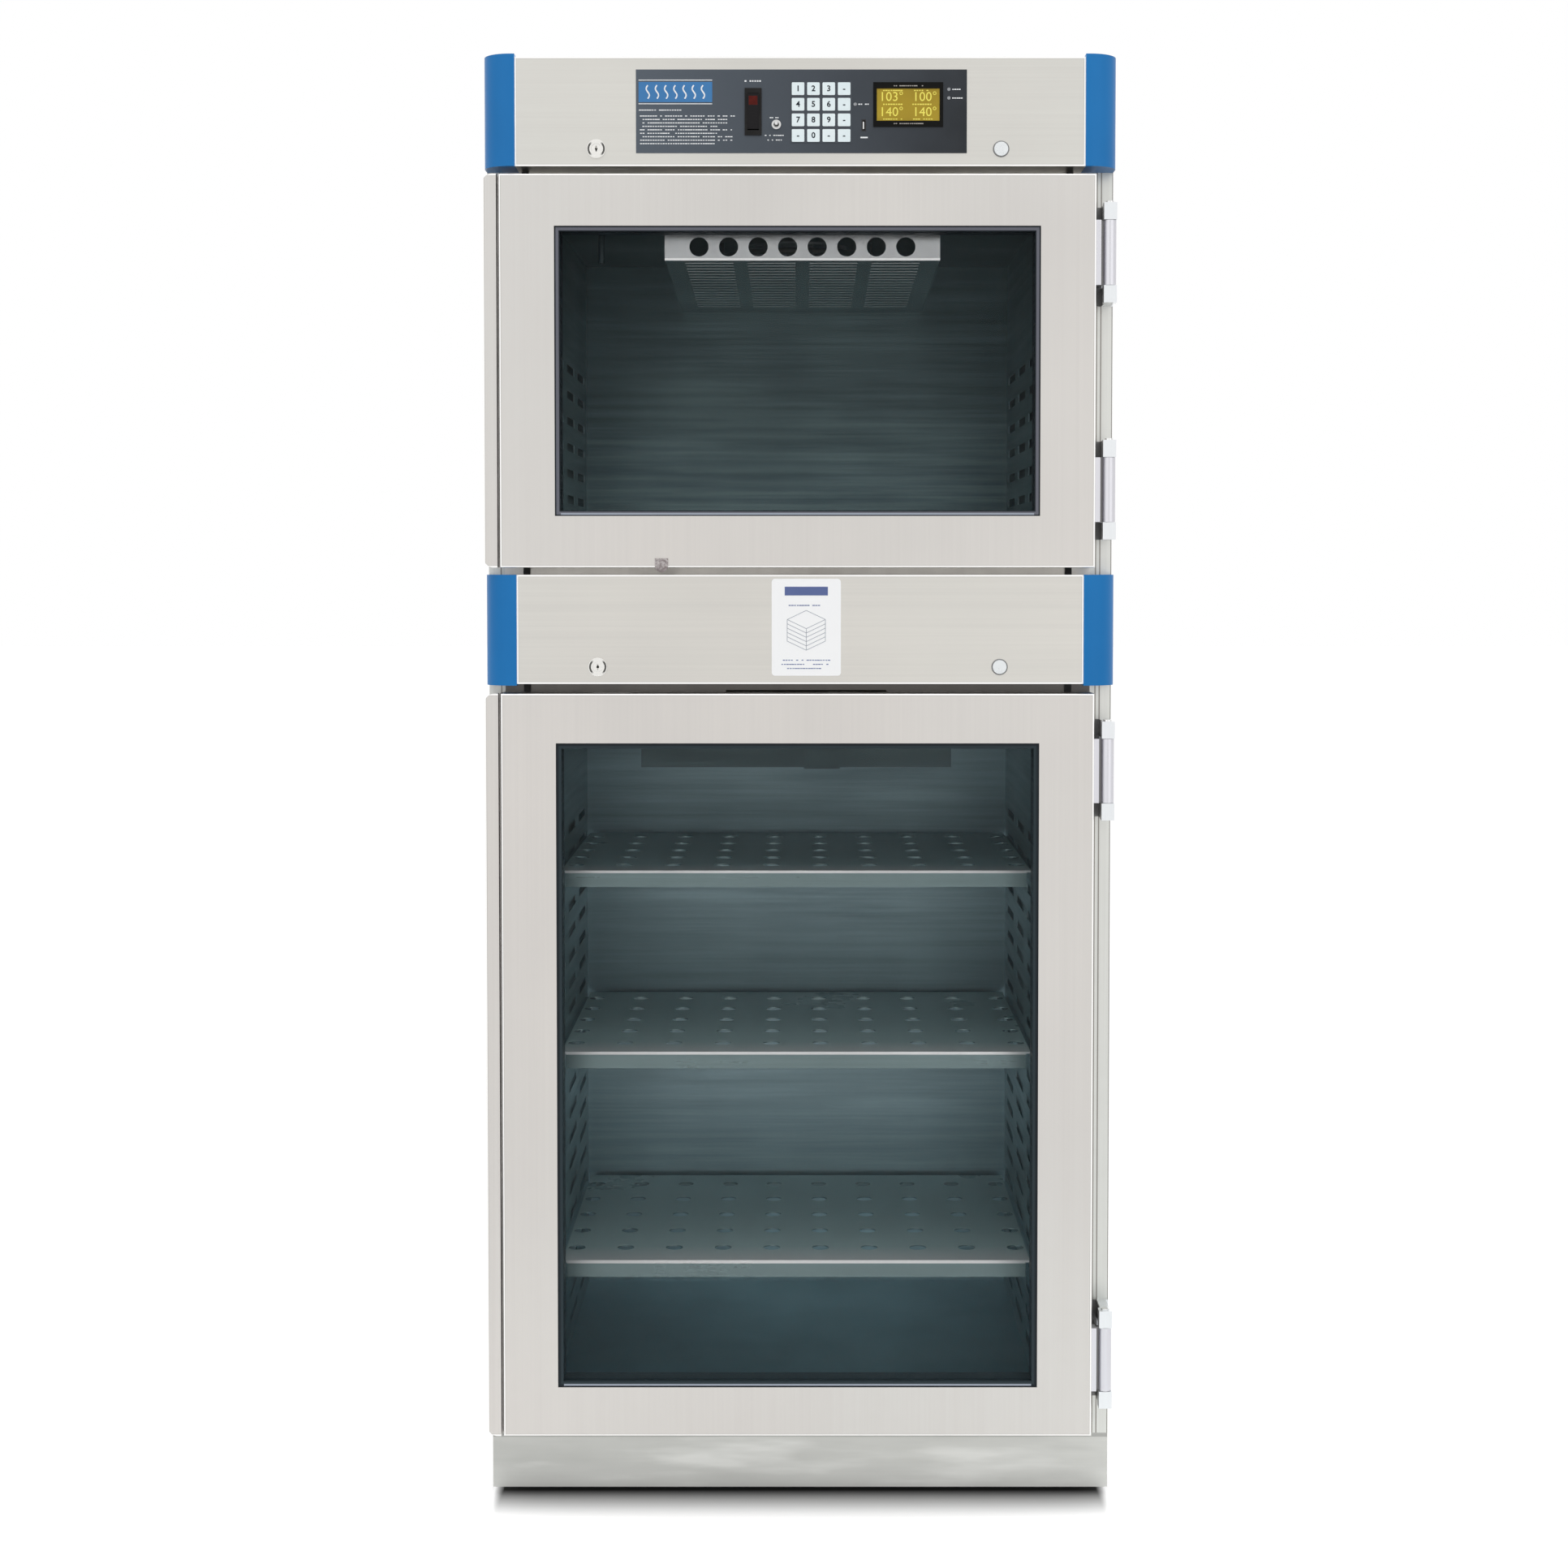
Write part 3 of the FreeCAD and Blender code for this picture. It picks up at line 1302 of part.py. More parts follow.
def make_hinge_leaves(prefix, low, high):
    leaves = []
    for number, middle in enumerate(hinge_heights(low, high), 1):
        name = f"{prefix}_leaf_{number}"
        z = about(middle, "knuckle_middle")
        leaf = box(name + "_plate", span("door_right", "door_right + leaf_thickness"),
                   span("door_front + leaf_setback", "door_front + leaf_setback + leaf_depth"), z)
        neck = box(name + "_neck", span("door_right + leaf_thickness", "hinge_x"),
                   span("hinge_y", "hinge_y + neck_thickness"), z)
        axis = ("hinge_x", "hinge_y", z[0])
        knuckle = rod(name + "_knuckle", "z", axis, "knuckle_radius", "knuckle_middle")
        bore = rod(name + "_bore", "z", axis, "pin_radius + pin_clearance", "knuckle_middle")
        leaves.append(cut(name, fuse(name + "_blank", [leaf, neck, knuckle]), [bore]))
    node(group(prefix + "_leaf_group", leaves), prefix + "_hinge_leaves")


def make_hinge_brackets():
    """Cabinet halves of the hinges and their pins."""
    brackets = []
    pins = []
    heights = (hinge_heights("lower_door_low", "lower_door_high")
               + hinge_heights("upper_door_low", "upper_door_high"))
    for number, middle in enumerate(heights, 1):
        name = f"hinge_bracket_{number}"
        plate = box(name + "_plate", span("side - hinge_plate_width", "side"),
                    span("frame_front - hinge_plate_sheet", "frame_front"), about(middle, "2 * hinge_half"))
        parts = [plate]
        ends = {"low": f"{middle} - hinge_half", "high": f"{middle} + hinge_half - knuckle_end"}
        for end, low in ends.items():
            z = span(low, f"{low} + knuckle_end")
            parts.append(box(f"{name}_{end}_arm", about("hinge_x", "arm_width"),
                             span("hinge_y", "frame_front"), z))
            parts.append(box(f"{name}_{end}_block", about("hinge_x", "2 * knuckle_radius"),
                             span("door_front", "hinge_y + knuckle_radius"), z))
        bore_start = ("hinge_x", "hinge_y", f"{middle} - hinge_half")
        bore = rod(name + "_bore", "z", bore_start, "pin_radius + pin_clearance", "2 * hinge_half")
        brackets.append(cut(name, fuse(name + "_blank", parts), [bore]))
        pin = rod(f"hinge_pin_{number}_rod", "z", bore_start, "pin_radius", "2 * hinge_half")
        head = rod(f"hinge_pin_{number}_head", "z", ("hinge_x", "hinge_y", f"{middle} + hinge_half"),
                   "pin_head_radius", "pin_head_height")
        pins.append(fuse(f"hinge_pin_{number}", [pin, head]))
    node(group("bracket_set", brackets), "hinge_brackets")
    node(group("pin_set", pins), "hinge_pins")


def make_seals():
    """Black seal on the face frame around each chamber; its uprights run past the door."""
    seals = []
    levels = {
        "lower": ("lower_floor", "lower_ceiling", "lower_door_low", "mid_low"),
        "upper": ("upper_floor", "upper_ceiling", "mid_high", "header_low"),
    }
    y = span("door_back + seal_clearance", "frame_front")
    left = span("door_left + seal_inset", "door_left + seal_inset + seal_width")
    right = span("door_right - seal_inset - seal_width", "door_right - seal_inset")
    for prefix, (floor, ceiling, bottom, top) in levels.items():
        bars = []
        for hand, x in (("left", left), ("right", right)):
            bars.append(box(f"{prefix}_seal_{hand}", x, y, span(bottom, top)))
        starts = {"low": f"{floor} - seal_margin - seal_width", "high": f"{ceiling} + seal_margin"}
        for end, start in starts.items():
            bars.append(box(f"{prefix}_seal_{end}", span(left[0], right[1]), y,
                            span(start, f"{start} + seal_width")))
        seals.append(fuse(prefix + "_seal", bars))
    node(group("seal_group", seals), "door_seals")


def make_bumper():
    low = "upper_door_low - bumper_reach"
    round_middle = f"{low} + bumper_width / 2"
    face = span("cap_front", "door_front")
    plate = box("bumper_plate", about("bumper_x", "bumper_width"), face,
                span(round_middle, f"{low} + bumper_height"))
    end = rod("bumper_end", "y", ("bumper_x", "cap_front", round_middle), "bumper_width / 2", "cap_proud")
    stem = box("bumper_stem", about("bumper_x", "bumper_stem_width"),
               span("door_front", "door_front + bumper_stem_depth"),
               span("upper_door_low - bumper_reach / 2", "upper_door_low"))
    node(fuse("bumper_fuse", [plate, end, stem]), "upper_bumper")


# Rear

cover_screws = [(x, z)
                for x in ("-rear_cover_width / 2 + rear_flange / 2", "rear_cover_width / 2 - rear_flange / 2")
                for z in ("cover_low + rear_flange / 2", "(cover_low + cover_high) / 2",
                          "cover_high - rear_flange / 2")]


def make_rear_cover():
    """Raised service cover with ventilation slots, screwed to the back panel by its flange."""
    cover = new_body("rear_cover")
    outer_x = about("0", "rear_cover_width")
    outer_z = span("cover_low", "cover_high")
    tray_x = about("0", "rear_cover_width - 2 * rear_flange")
    tray_z = span("cover_low + rear_flange", "cover_high - rear_flange")
    hollow_x = (f"{tray_x[0]} + shell_sheet", f"{tray_x[1]} - shell_sheet")
    hollow_z = (f"{tray_z[0]} + shell_sheet", f"{tray_z[1]} - shell_sheet")
    hollow = rectangle(hollow_x, hollow_z)
    pad(cover, "xz", "shell_back", "shell_back + shell_sheet", [rectangle(outer_x, outer_z), hollow])
    pad(cover, "xz", "shell_back", "rear_face", [rectangle(tray_x, tray_z), hollow])
    pad(cover, "xz", "rear_face - shell_sheet", "rear_face", [rectangle(tray_x, tray_z)])
    holes = [(spot, "screw_shank_radius + screw_hole_clearance") for spot in cover_screws]
    pocket(cover, "xz", "shell_back", "shell_back + shell_sheet", [], holes)
    slots = []
    for sign in (-1, 1):
        across = about(f"({sign}) * rear_slot_spread / 2", "rear_slot_length")
        low = "cover_low + rear_slot_rise"
        slots.append(rectangle(across, span(low, f"{low} + rear_slot_height")))
    cut_slots = pocket(cover, "xz", "rear_face - shell_sheet", "rear_face", slots)
    repeat(cover, cut_slots, "Z_Axis", "rear_slot_pitch", "rear_slot_rows")
    node(cover, "rear_cover")

    screws = []
    for number, (x, z) in enumerate(cover_screws, 1):
        name = f"cover_screw_{number}"
        flange_face = "shell_back + shell_sheet"
        head = rod(name + "_head", "y", (x, flange_face, z), "screw_radius", "screw_head_height")
        shank = rod(name + "_shank", "y", (x, f"{flange_face} - screw_shank_length", z),
                    "screw_shank_radius", "screw_shank_length")
        screws.append(fuse(name, [head, shank]))
    node(group("screw_group", screws), "rear_cover_screws")


def make_inlet():
    """Mains inlet: a shrouded socket with three flat pins."""
    flange = box("inlet_flange", about("inlet_x", "inlet_flange_width"),
                 span("shell_back", "shell_back + inlet_flange_sheet"),
                 about("inlet_z", "inlet_flange_height"))
    case = box("inlet_case", about("inlet_x", "inlet_body_width"),
               span("shell_back - inlet_body_depth", "shell_back"), about("inlet_z", "inlet_body_height"))
    mouth = "shell_back + inlet_flange_sheet"
    cavity = box("inlet_cavity", about("inlet_x", "inlet_cavity_width"),
                 span(f"{mouth} - inlet_cavity_depth", mouth), about("inlet_z", "inlet_cavity_height"))
    hollow = cut("inlet_hollow", fuse("inlet_blank", [flange, case]), [cavity])
    pins = [hollow]
    floor = f"{mouth} - inlet_cavity_depth"
    spots = (("inlet_x - inlet_pin_spread", "inlet_z - inlet_pin_rise / 2"),
             ("inlet_x + inlet_pin_spread", "inlet_z - inlet_pin_rise / 2"),
             ("inlet_x", "inlet_z + inlet_pin_rise"))
    for number, (x, z) in enumerate(spots, 1):
        pins.append(box(f"inlet_pin_{number}", about(x, "inlet_pin_width"),
                        span(floor, f"{floor} + inlet_pin_length"), about(z, "inlet_pin_height")))
    node(fuse("inlet_fuse", pins), "power_inlet")


make_base()
make_feet()
make_shell()
make_face_frame()
make_liner("lower", "lower_floor", "lower_ceiling")
make_liner("upper", "upper_floor", "upper_ceiling")
make_wool()
make_duct_panels("lower", "lower_floor", "lower_ceiling", "lower_louvre_rows")
make_duct_panels("upper", "upper_floor", "upper_ceiling", "upper_louvre_rows")
make_shelf("shelf_bottom", "shelf_bottom_rise")
make_shelf("shelf_middle", "shelf_middle_rise")
make_shelf("shelf_top", "shelf_top_rise")
make_shelf_brackets()
make_blower_wheel("lower", "lower_ceiling", "lower_deck")
make_blower_wheel("upper", "upper_ceiling", "upper_deck")
make_blower_motors()
make_heaters()
make_diffuser()
make_plenum()
make_probes()
header_loops, header_circles = panel_cutouts()
make_band("header_panel", "header_low", "shell_top", header_loops, header_circles)
make_band("mid_band_panel", "mid_low", "mid_high")
make_caps("header_caps", "header_low", "shell_top + cap_rise")
make_caps("mid_band_caps", "mid_low - cap_drop", "mid_high")
make_overlay()
make_rocker()
make_toggle()
node(group("switch_group", switch_cases), "switch_cases")
make_keypad()
make_display()
make_lamps_and_port()
make_electronics()
make_locks()
make_blanks()
make_label()
make_door("lower", "lower_door_low", "lower_door_high", "lower_rail")
make_door("upper", "upper_door_low", "upper_door_high", "upper_rail")
make_hinge_brackets()
make_seals()
make_bumper()
make_rear_cover()
make_inlet()

doc.recompute()

# Nothing is written unless every object computed and every sub-part is sound.
failed = [item.Name for item in doc.Objects if {"Invalid", "Error"} & set(item.State)]
if failed:
    raise RuntimeError("not computed: " + ", ".join(failed))
for item in nodes:
    if item.Shape.isNull() or not item.Shape.isValid() or not item.Shape.Solids:
        raise RuntimeError("unsound shape: " + item.Label)

os.makedirs("parts", exist_ok=True)
for item in nodes:
    item.Shape.exportStep(os.path.join("parts", item.Label + ".step"))
print(f"{len(nodes)} sub-parts, {sum(len(item.Shape.Solids) for item in nodes)} solids")
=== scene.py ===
import bmesh
import bpy
import math
from mathutils import Matrix, Vector


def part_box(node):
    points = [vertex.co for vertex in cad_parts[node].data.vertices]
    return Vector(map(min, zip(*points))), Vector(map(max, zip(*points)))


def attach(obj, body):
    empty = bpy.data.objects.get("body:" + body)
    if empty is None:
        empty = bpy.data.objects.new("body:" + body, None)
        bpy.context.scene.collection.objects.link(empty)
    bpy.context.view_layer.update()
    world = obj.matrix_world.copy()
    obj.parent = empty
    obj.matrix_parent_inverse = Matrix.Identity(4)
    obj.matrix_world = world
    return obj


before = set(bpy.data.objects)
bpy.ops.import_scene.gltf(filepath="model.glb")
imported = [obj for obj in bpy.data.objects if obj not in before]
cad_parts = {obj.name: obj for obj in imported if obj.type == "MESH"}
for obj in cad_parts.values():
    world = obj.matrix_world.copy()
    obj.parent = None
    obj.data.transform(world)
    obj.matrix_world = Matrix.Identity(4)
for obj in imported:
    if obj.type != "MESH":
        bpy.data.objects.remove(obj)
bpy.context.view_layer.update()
mm = 0.001
print("frame loaded:", len(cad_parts), "nodes")


def added(name, data):
    # new object in the scene
    item = bpy.data.objects.new(name, data)
    bpy.context.scene.collection.objects.link(item)
    return item


def closed(shell, name):
    # mesh from a finished shell
    mesh = bpy.data.meshes.new(name)
    shell.to_mesh(mesh)
    shell.free()
    return mesh


def plain(holder):
    # mesh of a holder as evaluated; the holder goes
    mesh = bpy.data.meshes.new_from_object(holder.evaluated_get(bpy.context.evaluated_depsgraph_get()))
    holder.modifiers.clear()
    bpy.data.objects.remove(holder)
    return mesh


# Node trees: any link can be used in a sum, and one method adds any other node.

class Link:
    def __init__(self, maker, socket):
        self.maker = maker
        self.socket = socket

    def maths(self, operation, first, second):
        return self.maker.add("ShaderNodeMath", [first, second], operation=operation)

    def __add__(self, other):
        return self.maths("ADD", self, other)

    def __mul__(self, other):
        return self.maths("MULTIPLY", self, other)

    __rmul__ = __mul__

    def __sub__(self, other):
        return self.maths("SUBTRACT", self, other)

    def __rsub__(self, other):
        return self.maths("SUBTRACT", other, self)

    def __truediv__(self, other):
        return self.maths("DIVIDE", self, other)

    def __pow__(self, power):
        return self.maths("POWER", self, power)

    def size(self):
        return self.maths("ABSOLUTE", self, 0)

    def least(self, other):
        return self.maths("MINIMUM", self, other)

    def most(self, other):
        return self.maths("MAXIMUM", self, other)

    def above(self, limit):
        return self.maths("GREATER_THAN", self, limit)

    def below(self, limit):
        return self.maths("LESS_THAN", self, limit)

    def within(self, low, high):
        return self.above(low) * self.below(high)


class Maker:
    def __init__(self, tree):
        self.tree = tree

    def add(self, kind, sockets=None, out=0, **settings):
        node = self.tree.nodes.new(kind)
        for name, value in settings.items():
            setattr(node, name, value)
        pairs = sockets.items() if isinstance(sockets, dict) else enumerate(sockets or [])
        for name, value in pairs:
            socket = self.named(node.inputs, name)
            if isinstance(value, Link):
                self.tree.links.new(value.socket, socket)
            elif value is not None:
                socket.default_value = value
        return Link(self, self.named(node.outputs, out))

    def named(self, sockets, name):
        # by number, name or identifier
        if isinstance(name, int):
            return sockets[name]
        return next(socket for socket in sockets if socket.enabled and name in (socket.name, socket.identifier))


class Finish(Maker):
    def __init__(self, name, **constants):
        self.material = bpy.data.materials.new(name)
        self.material.use_nodes = True
        super().__init__(self.material.node_tree)
        self.shader = self.tree.nodes["Principled BSDF"]
        self.place = self.add("ShaderNodeTexCoord", out="Object")
        for socketName, value in constants.items():
            self.shader.inputs[socketName.replace("_", " ")].default_value = value

    def feed(self, socketName, link):
        self.tree.links.new(link.socket, self.shader.inputs[socketName])

    def paint(self, colour):
        self.feed("Base Color", colour)

    def stretched(self, scale):
        return self.add("ShaderNodeMapping", {"Vector": self.place, "Scale": scale})

    def noise(self, scale, detail=3.0, roughness=0.55):
        # scale is one number, or one each for X, Y and Z
        place = self.stretched(scale if isinstance(scale, tuple) else (scale,) * 3)
        return self.add("ShaderNodeTexNoise", {
            "Vector": place, "Scale": 1.0, "Detail": detail, "Roughness": roughness,
        }, "Fac")

    def wave(self, scale, **settings):
        return self.add("ShaderNodeTexWave", {"Vector": self.place, "Scale": scale}, "Fac", **settings)

    def axis(self, name):
        return self.add("ShaderNodeSeparateXYZ", [self.place], name)

    def facing(self, name):
        # direction of the flat face itself, before any bump
        normal = self.add("ShaderNodeNewGeometry", out="True Normal")
        local = self.add("ShaderNodeVectorTransform", [normal], vector_type="NORMAL", convert_from="WORLD",
                         convert_to="OBJECT")
        return self.add("ShaderNodeSeparateXYZ", [local], name)

    def mix(self, factor, first, second):
        # each colour is a link or (red, green, blue)
        first, second = (colour if isinstance(colour, Link) else (*colour, 1) for colour in (first, second))
        return self.add("ShaderNodeMix", {
            "Factor_Float": factor, "A_Color": first, "B_Color": second,
        }, "Result_Color", data_type="RGBA")

    def range(self, link, fromLow, fromHigh, toLow, toHigh):
        return self.add("ShaderNodeMapRange", {
            "Value": link, "From Min": fromLow, "From Max": fromHigh, "To Min": toLow, "To Max": toHigh,
        }, "Result")

    def spread(self, noise, low, high):
        # from low to high over the values between which most of a noise lies
        return self.range(noise, 0.3, 0.7, low, high)

    def blend(self, noise, first, second):
        return self.mix(self.spread(noise, 0, 1), first, second)

    def rough(self, noise, low, high):
        self.feed("Roughness", self.spread(noise, low, high))

    def lean(self, factor, direction):
        # surface direction, tilted to this one where the factor is 1, as on a rounded bend
        normal = self.add("ShaderNodeNewGeometry", out="Normal")
        return self.add("ShaderNodeMix", {
            "Factor_Float": factor, "A_Vector": normal, "B_Vector": direction,
        }, "Result_Vector", data_type="VECTOR")

    def bump(self, height, strength, distance, normal=None):
        values = {"Height": height, "Strength": strength, "Distance": distance}
        if normal:
            values["Normal"] = normal
        self.feed("Normal", self.add("ShaderNodeBump", values, "Normal"))


grainAcross = (2, 2, 330)      # grain lies level
grainUp = (330, 330, 2)        # grain stands upright


def steelGround(finish, light, dark, grain, smudge):
    # returns the colour, the streaks and the clouds; the colour drifts slowly from warm to cool
    fine = finish.noise(grain, 4, 0.65)
    coarse = finish.noise(tuple(number * 0.23 for number in grain), 2)
    cloud = finish.noise(3.1)
    drift = finish.noise((1.9, 1.9, 1.3), 1)
    streak = fine * 0.6 + coarse * 0.4
    tone = finish.range(streak, 0.25, 0.75, 0, 1 - smudge) + finish.spread(cloud, 0, smudge)
    warm = (light[0] * 1.01, light[1], light[2] * 0.985)
    cool = (light[0] * 0.965, light[1] * 0.99, light[2] * 0.985)
    bright = finish.mix(finish.range(drift, 0.35, 0.65, 0, 1), warm, cool)
    return finish.mix(tone, dark, bright), streak, cloud


def steelSurface(finish, streak, cloud, roughness, grainDepth, normal=None):
    spots = finish.noise(46, 2)
    wear = finish.spread(cloud, -0.05, 0.06) + finish.range(spots, 0.45, 0.7, 0, 0.04)
    finish.feed("Roughness", finish.range(streak, 0.2, 0.8, roughness + 0.05, roughness - 0.05) + wear)
    finish.bump(streak, grainDepth, 0.0004, normal)


def steel(name, light, dark, grain, roughness=0.34, metallic=1.0, smudge=0.25, grainDepth=0.08):
    finish = Finish(name, Metallic=metallic)
    colour, streak, cloud = steelGround(finish, light, dark, grain, smudge)
    finish.paint(colour)
    steelSurface(finish, streak, cloud, roughness, grainDepth)
    return finish.material


def middleOf(nodeName):
    low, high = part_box(nodeName)
    return (low + high) / 2


def fromEnds(finish, nodeName, axisName):
    # distance inwards, along one axis, from the nearer end of a piece to the place shaded
    low, high = (corner["XYZ".index(axisName)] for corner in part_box(nodeName))
    return (high - low) / 2 - (finish.axis(axisName) - (low + high) / 2).size()


def inward(finish, nodeName):
    # distance from the outline of a front, seen along Y, to the place shaded
    return fromEnds(finish, nodeName, "X").least(fromEnds(finish, nodeName, "Z"))


def fromCentre(finish, nodeName):
    # distances across and straight from the axis of the nearer of two round pieces, one above the other
    low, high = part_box(nodeName)
    radius = (high.x - low.x) / 2
    across = finish.axis("X") - (low.x + radius)
    up = finish.axis("Z")
    rise = (up - (low.z + radius)).size().least((up - (high.z - radius)).size())
    return across, (across * across + rise * rise) ** 0.5


def panelSteel(nodeName, light, dark, grain, smudge=0.25, gripShade=0.0, innerLine=0.0):
    # sheet with a rounded fold all round its front, with a painted highlight along the fold and a painted
    # shadow line inside it; gripShade paints shade on the door's left side, inside the pull where hands reach
    # in, and innerLine is the width in mm of a painted shadow line along the pull's right edge, at the slot
    look = {"fold": 2.0, "line": 2.7, "skin": 1.2, "grip": 0.6}       # mm
    finish = Finish(nodeName + "Steel", Metallic=1.0)
    colour, streak, cloud = steelGround(finish, light, dark, grain, smudge)
    low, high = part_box(nodeName)
    across = finish.axis("X")
    front = finish.axis("Y").below(low.y + look["skin"] * mm)
    depth = inward(finish, nodeName)
    fold = depth.below(look["fold"] * mm) * front
    line = depth.within(look["fold"] * mm, look["line"] * mm) * front
    grip = across.below(low.x + look["grip"] * mm) * (1 - front)
    # painted highlight along the fold, then the painted shadow line inside it
    colour = finish.mix(fold * 0.85, colour, (0.95, 0.945, 0.93))
    colour = finish.mix(line * 0.3, colour, (0.22, 0.21, 0.20))
    # painted shade on the door's left side, inside the pull
    colour = finish.mix(grip * gripShade, colour, (0.06, 0.055, 0.05))
    if innerLine:
        # painted shadow of the slot between the pull and the door
        slot = across.above(high.x - innerLine * mm)
        colour = finish.mix(slot * 0.97, colour, (0.008, 0.007, 0.007))
    finish.paint(colour)
    steelSurface(finish, streak, cloud, 0.36, 0.08)
    return finish.material


def bentSteel(nodeName, bent):
    # sheet with a painted highlight along its front bend, at the top or the bottom; flatPale pales its top, which
    # is painted lighter still towards the front, painted light
    look = {"deep": 5, "skin": 0.2, "near": 70, "dim": 220}         # mm
    finish = Finish(nodeName + "Steel")
    colour, streak, cloud = steelGround(finish, bent["light"], bent["dark"], grainAcross, 0.4)
    low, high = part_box(nodeName)
    up = finish.axis("Z")
    place = high.z - bent["edge"] * mm
    edge = up.above(place) if bent["bendAtTop"] else up.below(place)
    front = finish.axis("Y").below(low.y + look["deep"] * mm)
    bend = front * edge
    flat = up.above(high.z - look["skin"] * mm) * bent["flatPale"]
    under = finish.facing("Z").below(-0.1)
    # painted light: the top is paler towards the front, where light falls in through the window
    near = finish.range(finish.axis("Y"), low.y, low.y + look["near"] * mm, 1, 0)
    colour = finish.mix(flat, colour, finish.mix(near, (0.60, 0.80, 0.80), (1.0, 1.0, 1.0)))
    colour = finish.mix(under * 0.8, colour, (0.45, 0.54, 0.53))
    tilted = bend
    if not bent["bendAtTop"]:
        # painted shade on the walls of the duct's slots, darker towards the rear
        walls = finish.facing("Y").below(-0.3) * (1 - front)
        fade = finish.range(finish.axis("Y"), low.y, low.y + look["dim"] * mm, 0.5, 1)
        colour = finish.mix(walls * fade, colour, (0.09, 0.11, 0.11))
        tilted = front.most(walls)
    # painted highlight on the front bend
    finish.paint(finish.mix(bend, colour, (0.99, 1.0, 1.0)))
    finish.feed("Metallic", (bent["metallic"] * (1 - flat * 0.9)).most(bend))
    steelSurface(finish, streak, cloud, bent["roughness"], bent["grain"], finish.lean(tilted, bent["lean"]))
    return finish.material


# edge is the bend's place in mm under the piece's top
shelfBend = {
    "light": (0.31, 0.42, 0.43), "dark": (0.22, 0.30, 0.31), "bendAtTop": True, "edge": 2.6,
    "lean": (0, -0.9, 0.44), "roughness": 0.3, "metallic": 0.7, "flatPale": 0.85, "grain": 0.03,
}
ductBend = {
    "light": (0.60, 0.61, 0.62), "dark": (0.57, 0.58, 0.59), "bendAtTop": False, "edge": 44.3,
    "lean": (0, -0.99, -0.1), "roughness": 0.14, "metallic": 0.95, "flatPale": 0.0, "grain": 0.01,
}


def chamberSheet(name, light, dark, footLift=1.0, footTop=0.4, footLow=0.11, level=1.0):
    # mill sheet seen inside the chambers, with long level brush marks; it's painted paler towards the foot,
    # painted light, by footLift times at footLow metres up and by level from footTop on
    finish = Finish(name, Metallic=0.85)
    fine = finish.noise((2.5, 2.5, 260), 4, 0.7)
    marks = finish.noise((3.5, 3.5, 75), 3, 0.6)
    cloud = finish.noise((4, 4, 3))
    tone = (finish.spread(fine, 0, 0.35) + finish.range(marks, 0.35, 0.7, 0, 0.3)
            + finish.spread(cloud, 0, 0.35))
    ground = finish.mix(tone, dark, light)
    lift = finish.range(finish.axis("Z"), footLow, footTop, footLift, level)
    finish.paint(finish.add("ShaderNodeVectorMath", {"Vector": ground, "Scale": lift}, operation="SCALE"))
    finish.rough(marks, 0.38, 0.3)
    finish.bump(fine * 0.7 + marks * 0.3, 0.12, 0.0004)
    return finish.material


def plastic(name, colour, second, roughness, texture=900, depth=0.06, gloss=0.5):
    finish = Finish(name, Specular_IOR_Level=gloss)
    cloud = finish.noise(14)
    pebble = finish.noise(texture, 2)
    finish.paint(finish.blend(cloud, colour, second))
    finish.rough(cloud, roughness - 0.04, roughness + 0.06)
    finish.bump(pebble, depth, 0.0003)
    return finish.material


print("finish tools ready")


# Steel finishes

doorLight, doorDark = (0.635, 0.612, 0.59), (0.575, 0.553, 0.53)
bandLight, bandDark = (0.65, 0.635, 0.60), (0.56, 0.545, 0.515)
sideSteel = steel("sideSteel", (0.64, 0.63, 0.60), (0.56, 0.55, 0.52), grainUp, 0.38)
# chamberSteel, tallSteel and plenumSteel are one mill sheet at different darkness, painted shade: darkest in the
# upper chamber and the plenum
chamberSteel = chamberSheet("chamberSteel", (0.115, 0.165, 0.17), (0.034, 0.052, 0.058), 2.1, 1.4, 1.22)
tallSteel = chamberSheet("tallSteel", (0.33, 0.455, 0.49), (0.19, 0.27, 0.30), 1.9, 0.5, 0.11, 0.85)
plenumSteel = chamberSheet("plenumSteel", (0.10, 0.14, 0.145), (0.035, 0.05, 0.055))
linerSteel = steel("linerSteel", (0.56, 0.57, 0.56), (0.46, 0.47, 0.47), grainUp, 0.34)
ductPanelSteel = chamberSheet("ductPanelSteel", (0.50, 0.66, 0.69), (0.25, 0.35, 0.38))
brightChrome = steel("brightChrome", (0.80, 0.80, 0.80), (0.70, 0.70, 0.70), (60, 60, 60), 0.14, 1.0, 0.3, 0.02)


def makeHingeSteel(name, light, dark):
    # pale hinge blocks; the neck beside each knuckle and the plate behind are painted dark, painted shade
    look = {"knuckle": 7.8, "leaf": 6, "recess": 17, "setback": 4, "inside": 5}         # mm
    finish = Finish(name, Metallic=0.8)
    colour, streak, cloud = steelGround(finish, light, dark, grainUp, 0.25)
    pin = middleOf("hinge_pins").x
    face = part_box("hinge_brackets")[0].y
    across, back = finish.axis("X"), finish.axis("Y")
    neck = (across.above(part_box("upper_hinge_leaves")[0].x + look["leaf"] * mm)
            * across.below(pin - look["knuckle"] * mm) * back.above(face + look["setback"] * mm))
    plate = back.above(face + look["recess"] * mm) * across.below(pin - look["inside"] * mm)
    # painted shade on the neck and the plate
    finish.paint(finish.mix(neck.most(plate) * 0.85, colour, (0.07, 0.066, 0.062)))
    steelSurface(finish, streak, cloud, 0.3, 0.08)
    return finish.material


